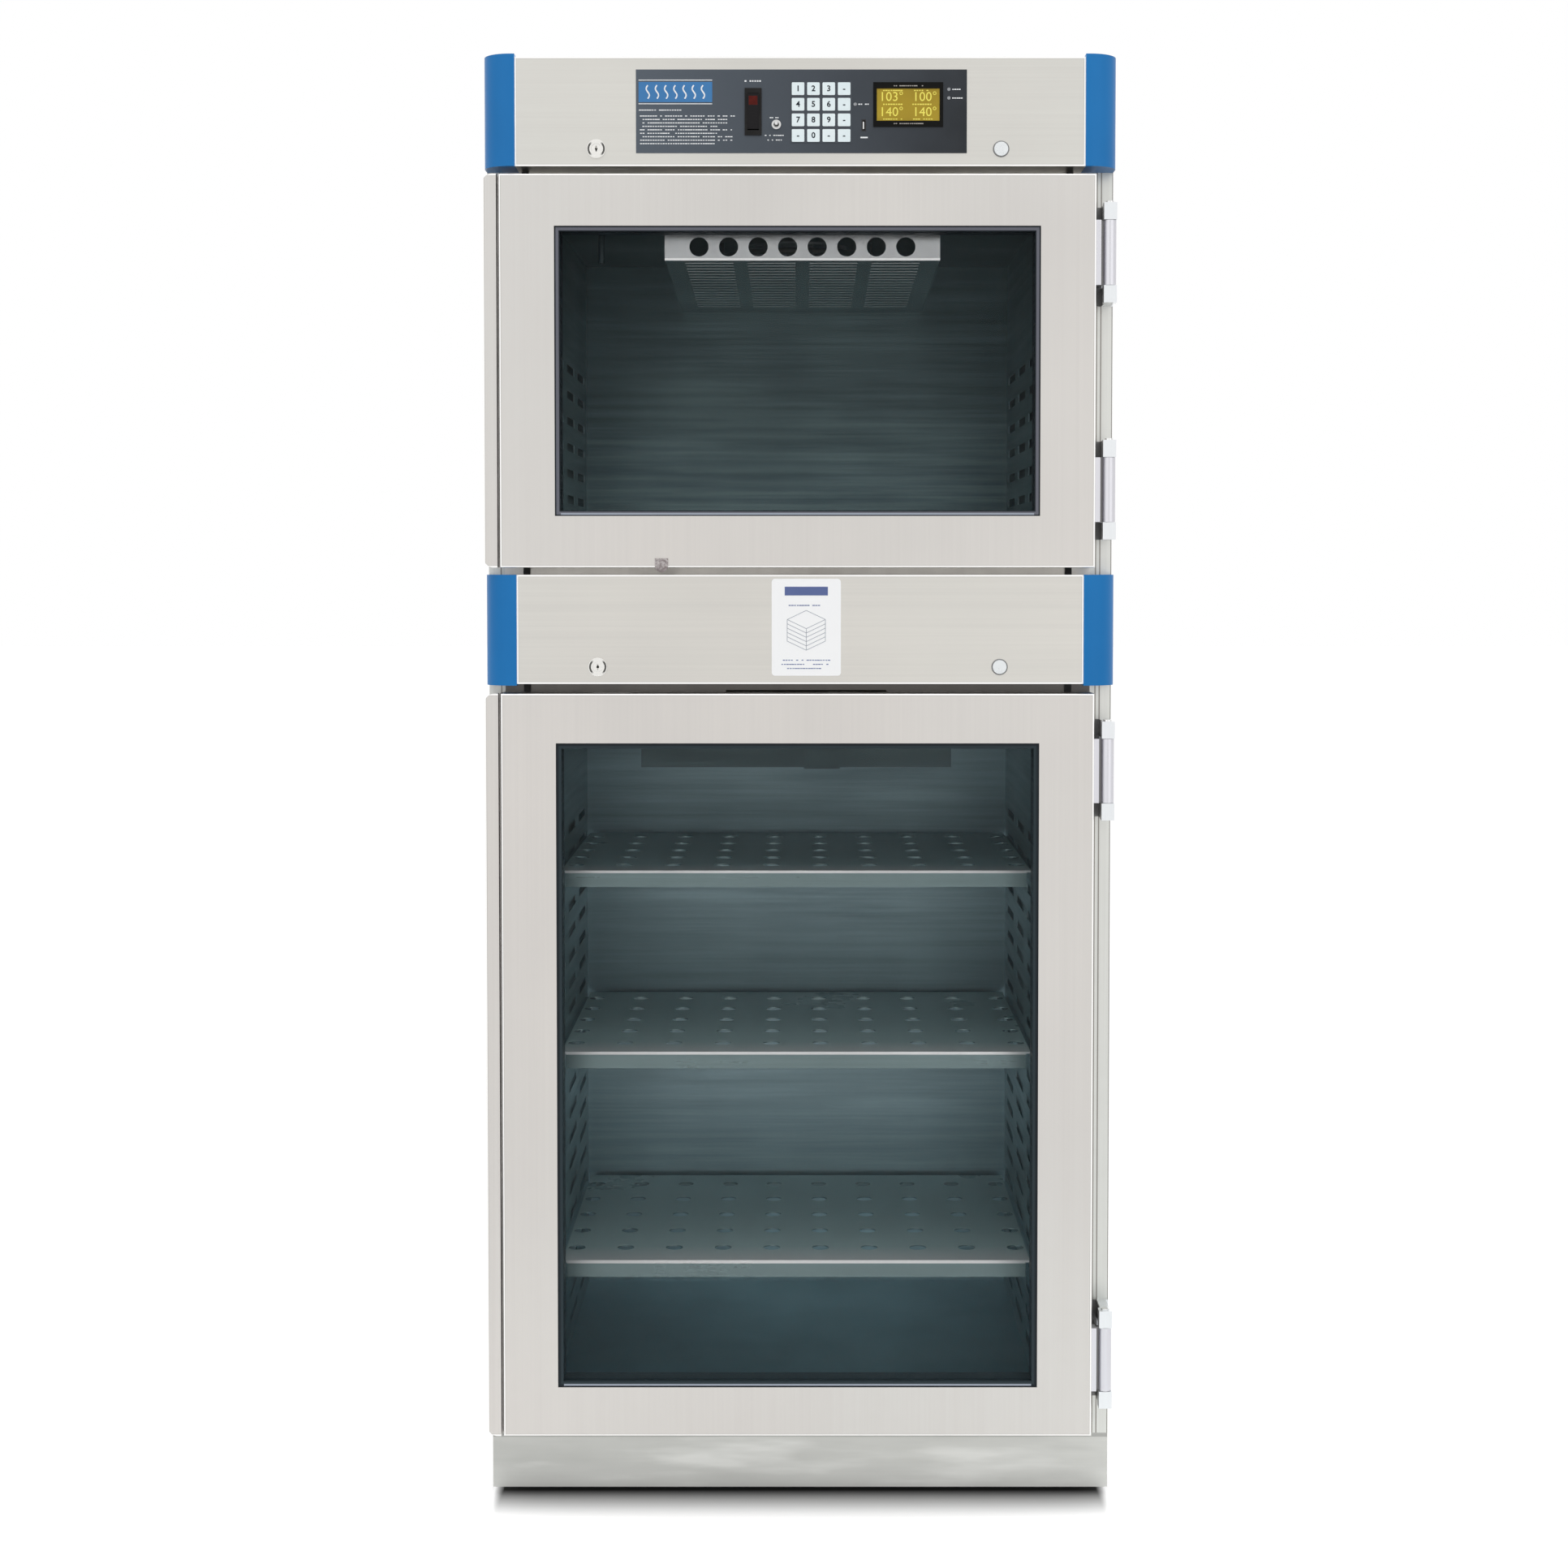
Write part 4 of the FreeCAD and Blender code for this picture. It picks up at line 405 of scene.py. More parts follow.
def makeFrameSteel():
    # face frame with the hairline seams of its corner joints and a dark line along its outer edge; it's painted
    # paler behind the doors, painted light, and painted dark in the gap under the mid band, painted shade
    look = {"seams": (-366, 361.6, 366.8), "width": 0.8, "rim": 1.1}          # mm
    finish = Finish("frameSteel", Metallic=1.0)
    colour, streak, cloud = steelGround(finish, (0.69, 0.69, 0.665), (0.59, 0.59, 0.565), grainUp, 0.25)
    across = finish.axis("X")
    rise = finish.axis("Z")
    seam = (across - look["seams"][0] * mm).size()
    for place in look["seams"][1:]:
        seam = seam.least((across - place * mm).size())
    doorLow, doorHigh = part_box("upper_door_frame")
    between = across.within(doorLow.x, doorHigh.x)
    # painted light: paler where the frame shows between the doors
    colour = finish.mix(between * 0.8, colour, (0.76, 0.725, 0.68))
    # painted shade in the gap between the lower door and the mid band
    gapShade = between * rise.within(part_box("lower_door_frame")[1].z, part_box("mid_band_panel")[0].z)
    colour = finish.mix(gapShade * 0.9, colour, (0.10, 0.095, 0.09))
    rim = across.above(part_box("face_frame")[1].x - look["rim"] * mm)
    colour = finish.mix(rim * 0.7, colour, (0.10, 0.09, 0.08))
    finish.paint(finish.mix(seam.below(look["width"] * mm) * 0.7, colour, (0.12, 0.10, 0.085)))
    steelSurface(finish, streak, cloud, 0.4, 0.08)
    return finish.material


def makeLockSteel():
    # turned face with dark arcs painted at each side of it, a painted reflection, and the key's dark middle,
    # painted shade of the keyhole
    look = {"arcsIn": 8.2, "arcsOut": 10.4, "centre": 1.7}        # mm from the key's axis
    finish = Finish("lockSteel", Metallic=1.0)
    across, away = fromCentre(finish, "lock_barrels")
    sides = finish.range(across.size() / away.most(0.0001), 0.55, 0.8, 0, 1)
    paintedArcs = away.within(look["arcsIn"] * mm, look["arcsOut"] * mm) * sides
    turned = finish.wave(260.0, wave_type="RINGS")
    pits = finish.noise(350, 2)
    plate = finish.mix(turned, (0.70, 0.69, 0.66), (0.84, 0.83, 0.80))
    # painted reflection at the sides of the ring and painted shade in the keyhole
    dark = paintedArcs.most(away.below(look["centre"] * mm))
    finish.paint(finish.mix(dark * 0.93, plate, (0.05, 0.05, 0.045)))
    finish.feed("Roughness", finish.spread(pits, 0.2, 0.32) + dark * 0.2)
    finish.bump(turned + pits * 0.4, 0.08, 0.0003)
    return finish.material


lockSteel = makeLockSteel()


def makeBaseSteel():
    # mopped sheet: slanting smears, painted paler towards the floor as painted light, and a painted shadow line
    # under the doors
    look = {"light": (0.57, 0.575, 0.55), "dark": (0.445, 0.45, 0.43), "smear": (0.71, 0.715, 0.69), "line": 5.2}
    finish = Finish("baseSteel", Metallic=1.0)
    streak = finish.noise(grainAcross, 4, 0.65)
    turned = finish.add("ShaderNodeMapping", {
        "Vector": finish.place, "Rotation": (0, math.radians(-38), 0), "Scale": (5, 5, 34),
    })
    smear = finish.add("ShaderNodeTexNoise", {"Vector": turned, "Scale": 1.0, "Detail": 3.0}, "Fac")
    cloud = finish.noise((4, 4, 7))
    ground = finish.blend(cloud, look["dark"], look["light"])
    worn = finish.mix(finish.range(smear, 0.5, 0.66, 0, 0.7), ground, look["smear"])
    worn = finish.mix(finish.range(smear, 0.46, 0.34, 0, 0.45), worn, look["dark"])
    low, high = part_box("base_frame")
    rise = finish.axis("Z")
    # painted light: paler towards the floor
    foot = finish.range(rise, low.z, (low.z + high.z) / 2, 0.25, 0)
    worn = finish.mix(foot, worn, (0.95, 0.955, 0.93))
    worn = finish.mix(rise.above(high.z - look["line"] * mm) * 0.5, worn, (0.15, 0.15, 0.14))
    grain = finish.range(streak, 0.2, 0.8, 0.25, 0)
    finish.paint(finish.mix(grain, worn, look["dark"]))
    finish.rough(smear, 0.46, 0.36)
    finish.bump(streak, 0.12, 0.0004)
    return finish.material


baseSteel = makeBaseSteel()


def makeGalvanised():
    finish = Finish("galvanisedSteel", Metallic=0.9)
    spread = finish.stretched((150, 150, 150))
    flake = finish.add("ShaderNodeTexVoronoi", {"Vector": spread, "Scale": 1.0}, "Color")
    grey = finish.add("ShaderNodeRGBToBW", [flake])
    finish.paint(finish.mix(grey, (0.42, 0.44, 0.45), (0.53, 0.55, 0.56)))
    finish.feed("Roughness", finish.range(grey, 0, 1, 0.36, 0.52))
    finish.bump(grey, 0.05, 0.0004)
    return finish.material


galvanised = makeGalvanised()


# Plastics, rubber, glass

def makeCapBlue():
    finish = Finish("capBlue", Specular_IOR_Level=0.2)
    cloud = finish.noise((9, 9, 5))
    pebble = finish.noise(1100, 2)
    finish.paint(finish.blend(cloud, (0.008, 0.165, 0.455), (0.012, 0.195, 0.52)))
    finish.rough(cloud, 0.34, 0.44)
    finish.bump(pebble, 0.08, 0.0002)
    return finish.material


def makeGlass():
    finish = Finish("doorGlass", IOR=1.52)
    film = finish.noise((5, 5, 3))
    finish.paint(finish.mix(film, (0.006, 0.016, 0.022), (0.012, 0.026, 0.032)))
    finish.rough(film, 0.03, 0.07)
    finish.feed("Alpha", finish.spread(film, 0.05, 0.07))
    return finish.material


def makeOverlayPrint():
    finish = Finish("overlayPrint", Specular_IOR_Level=0.25)
    across = finish.axis("X")
    low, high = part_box("control_overlay")
    fade = finish.range(across, low.x, high.x, 0, 1)
    weave = finish.noise(700, 2)
    cloud = finish.noise(11)
    colour = finish.mix(fade, (0.092, 0.112, 0.138), (0.014, 0.017, 0.021))
    finish.paint(finish.mix(finish.spread(cloud, 0, 0.15), colour, (0.11, 0.125, 0.15)))
    finish.rough(weave, 0.42, 0.55)
    finish.bump(weave, 0.06, 0.0002)
    return finish.material


def makeRockerPlastic():
    look = {"lensLow": 7, "lensHigh": 17.5, "lensHalf": 5.2}      # mm from the pivot
    finish = Finish("rockerPlastic", Specular_IOR_Level=0.12)
    middle = middleOf("power_rocker")
    up = finish.axis("Z")
    across = finish.axis("X")
    inside = (up.within(middle.z + look["lensLow"] * mm, middle.z + look["lensHigh"] * mm)
              * across.within(middle.x - look["lensHalf"] * mm, middle.x + look["lensHalf"] * mm))
    glow = finish.noise(160, 2)
    lens = finish.mix(glow, (0.05, 0.004, 0.003), (0.15, 0.014, 0.008))
    finish.paint(finish.mix(inside, (0.012, 0.011, 0.012), lens))
    finish.feed("Roughness", 0.38 - inside * 0.2)
    ribs = finish.wave(90.0, bands_direction="Z")
    finish.bump(ribs * (1 - inside), 0.15, 0.0003)
    return finish.material


def makeDisplay():
    finish = Finish("displayAmber", Specular_IOR_Level=0.25, Roughness=0.35, Emission_Strength=0.12)
    rows = finish.wave(420.0, bands_direction="Z")
    cloud = finish.noise(22, 2)
    colour = finish.blend(cloud, (0.34, 0.232, 0.015), (0.42, 0.295, 0.02))
    colour = finish.mix(finish.range(rows, 0, 1, 0, 0.3), colour, (0.22, 0.165, 0.012))
    finish.paint(colour)
    finish.feed("Emission Color", colour)
    return finish.material


def makeLamp():
    finish = Finish("lampLens", IOR=1.49, Coat_Weight=0.5)
    depth = finish.noise(900, 1)
    finish.paint(finish.mix(depth, (0.16, 0.17, 0.19), (0.42, 0.44, 0.46)))
    finish.rough(depth, 0.12, 0.24)
    return finish.material


def makeWool():
    finish = Finish("mineralWool", Roughness=0.95)
    fibre = finish.noise((240, 240, 90), 5, 0.7)
    tuft = finish.noise(30)
    finish.paint(finish.mix(fibre * 0.6 + tuft * 0.4, (0.36, 0.30, 0.16), (0.62, 0.56, 0.38)))
    finish.bump(fibre * 0.5 + tuft * 0.5, 0.6, 0.003)
    return finish.material


def makeElement():
    finish = Finish("heaterSheath", Metallic=0.85)
    heat = finish.noise(30)
    finish.paint(finish.mix(heat, (0.10, 0.085, 0.08), (0.30, 0.25, 0.21)))
    finish.rough(heat, 0.4, 0.6)
    finish.bump(heat, 0.1, 0.0005)
    return finish.material


def makeBoard():
    finish = Finish("boardGreen", Coat_Weight=0.2)
    tracks = finish.add("ShaderNodeTexBrick", {
        "Vector": finish.add("ShaderNodeMapping", {
            "Vector": finish.place, "Rotation": (math.radians(90), 0, 0), "Scale": (60, 60, 60),
        }), "Scale": 1.0,
    }, "Fac")
    finish.paint(finish.mix(tracks, (0.012, 0.11, 0.04), (0.05, 0.22, 0.09)))
    finish.feed("Roughness", finish.range(tracks, 0, 1, 0.35, 0.5))
    return finish.material


def makeKeyFilm():
    look = {"keyStep": 0.45}        # mm behind the key tops where the dark sheet starts
    finish = Finish("keyFilm", Specular_IOR_Level=0.35)
    sheet = finish.axis("Y").above(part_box("keypad")[0].y + look["keyStep"] * mm)
    cloud = finish.noise(25)
    pebble = finish.noise(600, 2)
    key = finish.blend(cloud, (0.79, 0.90, 0.93), (0.84, 0.93, 0.95))
    finish.paint(finish.mix(sheet, key, (0.05, 0.06, 0.075)))
    finish.rough(pebble, 0.38, 0.46)
    finish.bump(pebble, 0.05, 0.0003)
    return finish.material


def makePlugCap():
    look = {"rimIn": 8.3}           # mm from the plug's axis where the dark rim starts, painted shade round the dome's edge
    finish = Finish("plugCap", Metallic=0.4)
    rim = fromCentre(finish, "hole_plugs")[1].above(look["rimIn"] * mm)
    cloud = finish.noise(130)
    face = finish.mix(cloud, (0.74, 0.77, 0.78), (0.86, 0.88, 0.89))
    # painted shade round the dome's edge
    finish.paint(finish.mix(rim * 0.85, face, (0.10, 0.10, 0.10)))
    finish.rough(cloud, 0.24, 0.36)
    finish.bump(cloud, 0.08, 0.0003)
    return finish.material


def makeSwitchCase():
    # black rocker housing, plated toggle bushing to the right of it
    look = {"bushing": 6}           # mm from the lever's side to where the plated part starts
    finish = Finish("switchCase", Specular_IOR_Level=0.12)
    plated = finish.axis("X").above(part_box("toggle_lever")[0].x - look["bushing"] * mm)
    cloud = finish.noise(90)
    black = finish.mix(cloud, (0.010, 0.010, 0.010), (0.022, 0.021, 0.021))
    metal = finish.mix(cloud, (0.55, 0.55, 0.55), (0.70, 0.70, 0.69))
    finish.paint(finish.mix(plated, black, metal))
    finish.feed("Metallic", plated * 0.95)
    finish.rough(cloud, 0.26, 0.4)
    finish.bump(cloud, 0.06, 0.0003)
    return finish.material


def makeTrim(nodeName, slate, lip, slope):
    # extruded window trim: dark outer lip, slate slope, dark inner lip, and a pale line at the foot, a painted
    # reflection;
    # all distances are in mm from the outline of the spacer behind it
    look = {"sillIn": 13.4, "sillOut": 15.6, "corner": 19}
    finish = Finish(nodeName + "Black", Specular_IOR_Level=0.12)
    depth = inward(finish, nodeName)
    slant = depth.within(lip * mm, slope * mm)
    rise = finish.axis("Z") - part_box(nodeName)[0].z
    sill = (rise.within(look["sillIn"] * mm, look["sillOut"] * mm)
            * fromEnds(finish, nodeName, "X").above(look["corner"] * mm))
    cloud = finish.noise(30)
    die = finish.noise((12, 12, 700), 2)
    dark = finish.mix(cloud, (0.010, 0.014, 0.018), (0.022, 0.028, 0.034))
    colour = finish.mix(slant, dark, slate)
    # painted reflection along the foot
    finish.paint(finish.mix(sill * 0.8, colour, (0.42, 0.47, 0.55)))
    finish.rough(die, 0.36, 0.5)
    finish.bump(die, 0.08, 0.0003)
    return finish.material


def makeBumper():
    # cast grey knob, mottled, darker round its foot, painted shade
    finish = Finish("bumperGrey", Specular_IOR_Level=0.3)
    low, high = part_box("upper_bumper")
    mottle = finish.noise(330, 2)
    foot = finish.range(finish.axis("Z"), low.z, low.z + (high.z - low.z) * 0.6, 0.75, 0)
    colour = finish.mix(finish.range(mottle, 0.35, 0.65, 0, 1), (0.25, 0.21, 0.21), (0.58, 0.54, 0.535))
    # painted shade round the foot
    finish.paint(finish.mix(foot, colour, (0.16, 0.13, 0.125)))
    finish.rough(mottle, 0.45, 0.65)
    finish.bump(mottle, 0.5, 0.0006)
    return finish.material


bracketSteel = makeHingeSteel("bracketSteel", (0.80, 0.82, 0.84), (0.73, 0.75, 0.77))
leafSteel = makeHingeSteel("leafSteel", (0.70, 0.695, 0.735), (0.64, 0.635, 0.675))
capBlue = makeCapBlue()
plugCap = makePlugCap()
switchCase = makeSwitchCase()
doorGlass = makeGlass()
overlayPrint = makeOverlayPrint()
rockerPlastic = makeRockerPlastic()
displayAmber = makeDisplay()
lampLens = makeLamp()
mineralWool = makeWool()
heaterSheath = makeElement()
boardGreen = makeBoard()
keyFilm = makeKeyFilm()
sealRubber = plastic("sealRubber", (0.012, 0.012, 0.012), (0.022, 0.021, 0.020), 0.62, 500, 0.2)
footRubber = plastic("footRubber", (0.014, 0.014, 0.014), (0.028, 0.027, 0.026), 0.75, 350, 0.3)
caseBlack = plastic("caseBlack", (0.012, 0.011, 0.011), (0.022, 0.020, 0.020), 0.36)
bumperGrey = makeBumper()
labelFilm = plastic("labelFilm", (0.98, 0.99, 1.0), (0.99, 0.995, 1.0), 0.42, 500, 0.03)
bezelBlack = plastic("bezelBlack", (0.004, 0.004, 0.004), (0.008, 0.008, 0.007), 0.6, 900, 0.04, 0.08)
motorEnamel = plastic("motorEnamel", (0.02, 0.02, 0.022), (0.05, 0.05, 0.052), 0.4, 300, 0.2)
inkWhite = plastic("inkWhite", (0.86, 0.88, 0.90), (0.92, 0.94, 0.95), 0.5)
inkBlue = plastic("inkBlue", (0.025, 0.17, 0.42), (0.035, 0.20, 0.47), 0.4)
inkRim = plastic("inkRim", (0.30, 0.28, 0.25), (0.40, 0.37, 0.34), 0.5)
inkDark = plastic("inkDark", (0.012, 0.017, 0.025), (0.02, 0.027, 0.036), 0.5, 900, 0.06, 0.1)
inkGrey = plastic("inkGrey", (0.33, 0.36, 0.42), (0.42, 0.45, 0.50), 0.5)
inkLabelBlue = plastic("inkLabelBlue", (0.08, 0.12, 0.30), (0.11, 0.15, 0.35), 0.5)
inkLcd = plastic("inkLcd", (0.86, 0.76, 0.09), (0.92, 0.82, 0.13), 0.4)
print("finishes made:", len(bpy.data.materials))


# Finishes on the solid pieces

dress = {
    "base_frame": baseSteel, "foot_pads": footRubber, "outer_shell": sideSteel, "back_panel": galvanised,
    "face_frame": makeFrameSteel(), "lower_liner": tallSteel, "upper_liner": chamberSteel,
    "insulation": mineralWool, "lower_duct_panels": ductPanelSteel, "upper_duct_panels": ductPanelSteel,
    "shelf_brackets": tallSteel, "lower_blower_wheel": galvanised, "upper_blower_wheel": galvanised,
    "blower_motors": motorEnamel, "heater_elements": heaterSheath,
    "upper_diffuser": bentSteel("upper_diffuser", ductBend), "lower_plenum": plenumSteel,
    "temperature_probes": plenumSteel, "header_caps": capBlue, "mid_band_caps": capBlue,
    "control_overlay": overlayPrint, "power_rocker": rockerPlastic, "toggle_lever": brightChrome,
    "switch_cases": switchCase, "keypad": keyFilm, "lcd_bezel": bezelBlack, "lcd_screen": displayAmber,
    "indicator_lamps": lampLens, "data_port": caseBlack, "control_board": boardGreen,
    "power_supply": galvanised, "lower_lock_plug": lockSteel, "upper_lock_plug": lockSteel,
    "lock_barrels": lockSteel, "hole_plugs": plugCap, "label_plate": labelFilm,
    "hinge_brackets": bracketSteel, "hinge_pins": brightChrome, "door_seals": sealRubber,
    "upper_bumper": bumperGrey, "rear_cover": linerSteel, "rear_cover_screws": brightChrome,
    "power_inlet": caseBlack,
}
# (level, colour of the trim's slope, where its lip and its slope end); both trims are one black extrusion, and the
# upper slope's paler colour is painted light
trims = [("lower", (0.028, 0.041, 0.048), 15.2, 20), ("upper", (0.15, 0.155, 0.185), 13.6, 17.2)]
for level, slate, lip, slope in trims:
    dress.update({
        level + "_door_liner": linerSteel, level + "_door_glass": doorGlass, level + "_hinge_leaves": leafSteel,
        level + "_door_frame": panelSteel(level + "_door_frame", doorLight, doorDark, grainUp, 0.5, 0.85),
        level + "_handle": panelSteel(level + "_handle", doorLight, doorDark, grainUp, 0.25, 0.0, 1.9),
        level + "_glazing_trim": makeTrim(level + "_glazing_trim", slate, lip, slope),
    })
for nodeName in ("header_panel", "mid_band_panel"):
    dress[nodeName] = panelSteel(nodeName, bandLight, bandDark, grainAcross, 0.4)
for nodeName in ("shelf_bottom", "shelf_middle", "shelf_top"):
    dress[nodeName] = bentSteel(nodeName, shelfBend)
for nodeName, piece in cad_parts.items():
    for materialSlot in piece.material_slots:
        materialSlot.material = dress[nodeName]
print("solid pieces finished:", len(dress))


# Printed marks: flat meshes that lie on a face looking towards -Y

def newPiece(name, mesh, material, body="cabinet"):
    piece = added(name, mesh)
    piece.data.materials.clear()
    piece.data.materials.append(material)
    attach(piece, body)
    return piece


def plate(shell, corners, front, back):
    # closed slab between two depths, from corners given in (x, z)
    count = len(corners)
    near = [shell.verts.new((x, front, z)) for x, z in corners]
    far = [shell.verts.new((x, back, z)) for x, z in corners]
    shell.faces.new(near)
    shell.faces.new(far[::-1])
    for number in range(count):
        after = (number + 1) % count
        shell.faces.new([near[number], far[number], far[after], near[after]])


def newPlates(name, outlines, front, back, ink):
    shell = bmesh.new()
    for corners in outlines:
        plate(shell, corners, front, back)
    bmesh.ops.recalc_face_normals(shell, faces=shell.faces[:])
    newPiece(name, closed(shell, name), ink)


def bar(x, z, width, height):
    # rectangle from its lower left corner
    return [(x, z), (x + width, z), (x + width, z + height), (x, z + height)]


def stroke(start, end, width):
    # rectangle along a line
    run = Vector((end[0] - start[0], end[1] - start[1]))
    side = Vector((-run.y, run.x)).normalized() * (width / 2)
    return [(start[0] - side.x, start[1] - side.y), (end[0] - side.x, end[1] - side.y),
            (end[0] + side.x, end[1] + side.y), (start[0] + side.x, start[1] + side.y)]


def textMesh(name, rows, size, front, thickness, bold=0.0):
    # rows of (text, middle x, middle z), turned to look towards -Y; bold widens each stroke
    joined = bmesh.new()
    for words, x, z in rows:
        curve = bpy.data.curves.new(name, "FONT")
        curve.body = words
        curve.size = size
        curve.align_x = "CENTER"
        curve.align_y = "CENTER"
        curve.extrude = thickness / 2
        curve.offset = bold
        curve.resolution_u = 3
        solid = plain(added(name, curve))
        upright = Matrix.Rotation(math.radians(90), 4, "X")
        solid.transform(Matrix.Translation((x, front + thickness / 2, z)) @ upright)
        joined.from_mesh(solid)
    return closed(joined, name)


# Rows of short printed dashes, from a node tree with a fixed seed

class Growth(Maker):
    def __init__(self, name):
        super().__init__(bpy.data.node_groups.new(name, "GeometryNodeTree"))
        self.tree.interface.new_socket(name="Geometry", in_out="OUTPUT", socket_type="NodeSocketGeometry")
        self.entry = self.tree.nodes.new("NodeGroupInput")
        self.identifiers = {}

    def input(self, name, kind="Float"):
        item = self.tree.interface.new_socket(name=name, in_out="INPUT", socket_type="NodeSocket" + kind)
        self.identifiers[name] = item.identifier
        return Link(self, next(s for s in self.entry.outputs if s.identifier == item.identifier))

    def close(self, geometry):
        real = self.add("GeometryNodeRealizeInstances", [geometry])
        finish = self.input("Finish", "Material")
        coloured = self.add("GeometryNodeSetMaterial", {"Geometry": real, "Material": finish})
        last = self.tree.nodes.new("NodeGroupOutput")
        self.tree.links.new(coloured.socket, last.inputs[0])

    def grow(self, name, values):
        # plain mesh of the tree with these input values
        holder = added(name, bpy.data.meshes.new(name))
        modifier = holder.modifiers.new("grow", "NODES")
        modifier.node_group = self.tree
        for inputName, value in values.items():
            modifier[self.identifiers[inputName]] = value
        return plain(holder)


def makeDashTree():
    tree = Growth("printedDashes")
    columns = tree.input("Columns", "Int")
    pitch = tree.input("Pitch")
    height = tree.input("Dash Height")
    thickness = tree.input("Thickness")
    gaps = tree.input("Gap Share")
    seed = tree.input("Seed", "Int")
    corner = tree.input("Corner", "Vector")
    grid = tree.add("GeometryNodeMeshGrid", {
        "Size X": pitch * (columns - 1), "Size Y": 0.0, "Vertices X": columns, "Vertices Y": 1,
    }, "Mesh")
    centre = tree.add("ShaderNodeCombineXYZ", [pitch * (columns - 1) / 2])
    upright = tree.add("GeometryNodeTransform", {
        "Geometry": grid, "Rotation": (math.radians(90), 0, 0),
        "Translation": tree.add("ShaderNodeVectorMath", [centre, corner], operation="ADD"),
    })
    chance = "FunctionNodeRandomValue"
    gap = tree.add(chance, {"Probability": gaps, "Seed": seed}, "Value", data_type="BOOLEAN")
    kept = tree.add("GeometryNodeDeleteGeometry", {"Geometry": upright, "Selection": gap}, domain="POINT")
    length = tree.add(chance, {"Min": 0.55, "Max": 1.0, "Seed": seed}, "Value", data_type="FLOAT")
    size = tree.add("ShaderNodeCombineXYZ", [length * pitch, thickness, height])
    dash = tree.add("GeometryNodeMeshCube", {"Size": (1, 1, 1)}, "Mesh")
    tree.close(tree.add("GeometryNodeInstanceOnPoints", {
        "Points": kept, "Instance": dash, "Scale": size,
    }))
    return tree


dashTree = makeDashTree()
inkThickness = 0.12 * mm


def dashes(name, corner, count, pitch, height, gapShare, seed, ink):
    # one row of dashes to the right of its corner
    return dashTree.grow(name, {
        "Columns": count, "Pitch": pitch * mm, "Dash Height": height * mm,
        "Thickness": inkThickness, "Gap Share": gapShare, "Seed": seed, "Corner": corner, "Finish": ink,
    })


def joinMeshes(name, meshes):
    joined = bmesh.new()
    for mesh in meshes:
        joined.from_mesh(mesh)
    return closed(joined, name)


def makePanelPrint():
    # small print as plain dashes, lines of a note first: (across, up, dashes, seed), then captions:
    # (across, up, dashes, pitch, height, gap share, seed), mm
    note = {"pitch": 3.0, "height": 1.1, "gap": 0.12}
    lines = [
        (5, 51, 17, 3), (6, 44, 38, 5), (9, 39.9, 34, 8), (6, 35.8, 35, 11), (9, 31.7, 30, 12),
        (6, 27.6, 37, 14), (6, 23.5, 32, 17), (9, 19.4, 36, 19), (6, 15.3, 37, 23), (6, 11.2, 30, 29),
    ]
    captions = [(across, up, count, note["pitch"], note["height"], note["gap"], seed)
                for across, up, count, seed in lines] + [
        (131, 85.5, 7, 2.9, 1.7, 0.1, 31), (161, 42, 5, 2.2, 1.1, 0.1, 37), (155, 21, 9, 2.6, 1.1, 0.2, 41),
        (158, 15.5, 7, 2.6, 1.1, 0.2, 43), (267, 58, 5, 2.6, 1.3, 0.1, 47), (269.5, 18.5, 4, 2.2, 1.7, 0.0, 53),
        (379, 75.6, 4, 2.6, 1.2, 0.1, 59), (379, 65.3, 5, 2.6, 1.2, 0.1, 61),
    ]
    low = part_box("control_overlay")[0]
    meshes = []
    for across, up, count, pitch, height, gapShare, seed in captions:
        corner = (low.x + across * mm, low.y - inkThickness / 2, low.z + up * mm)
        meshes.append(dashes("note", corner, count, pitch, height, gapShare, seed, inkWhite))
    newPiece("panelNotes", joinMeshes("panelNotes", meshes), inkWhite)

    badge = {"left": 3.2, "low": 60.5, "width": 88, "height": 24, "rule": 0.9, "ruleGap": 1.6}
    # sway and line in mm, foot and rise as shares of the badge's height
    wave = {"count": 7, "steps": 16, "sway": 1.9, "line": 1.7, "foot": 0.17, "rise": 0.66}
    left = low.x + badge["left"] * mm
    foot = low.z + badge["low"] * mm
    width = badge["width"] * mm
    height = badge["height"] * mm
    rule = badge["rule"] * mm
    gap = badge["ruleGap"] * mm
    front = low.y - inkThickness
    newPlates("badgeField", [bar(left, foot, width, height)], front, low.y, inkBlue)
    marks = [bar(left, foot - gap - rule, width, rule), bar(left, foot + height + gap, width, rule)]
    for number in range(wave["count"]):         # plain rising waves for warmth
        x = left + width * (number + 1) / (wave["count"] + 1)
        points = []
        for step in range(wave["steps"] + 1):
            share = step / wave["steps"]
            sway = math.sin(share * 2 * math.pi) * wave["sway"] * mm
            points.append((x + sway, foot + height * (wave["foot"] + wave["rise"] * share)))
        for start, end in zip(points, points[1:]):
            marks.append(stroke(start, end, wave["line"] * mm))
    newPlates("badgeMarks", marks, low.y - inkThickness * 2, front, inkWhite)


def makeKeyMarks():
    look = {"size": 9.5, "bold": 0.22, "first": (193.8, 20.8), "pitch": (18.35, 18.5)}
    signs = ["123-", "456-", "789-", "-0--"]
    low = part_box("control_overlay")[0]
    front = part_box("keypad")[0].y - inkThickness
    rows = []
    for rowNumber, row in enumerate(signs):
        for column, sign in enumerate(row):
            x = low.x + (look["first"][0] + column * look["pitch"][0]) * mm
            z = low.z + (look["first"][1] + (3 - rowNumber) * look["pitch"][1]) * mm
            rows.append((sign, x, z))
    marks = textMesh("keyMarks", rows, look["size"] * mm, front, inkThickness, look["bold"] * mm)
    newPiece("keyMarks", marks, inkDark)


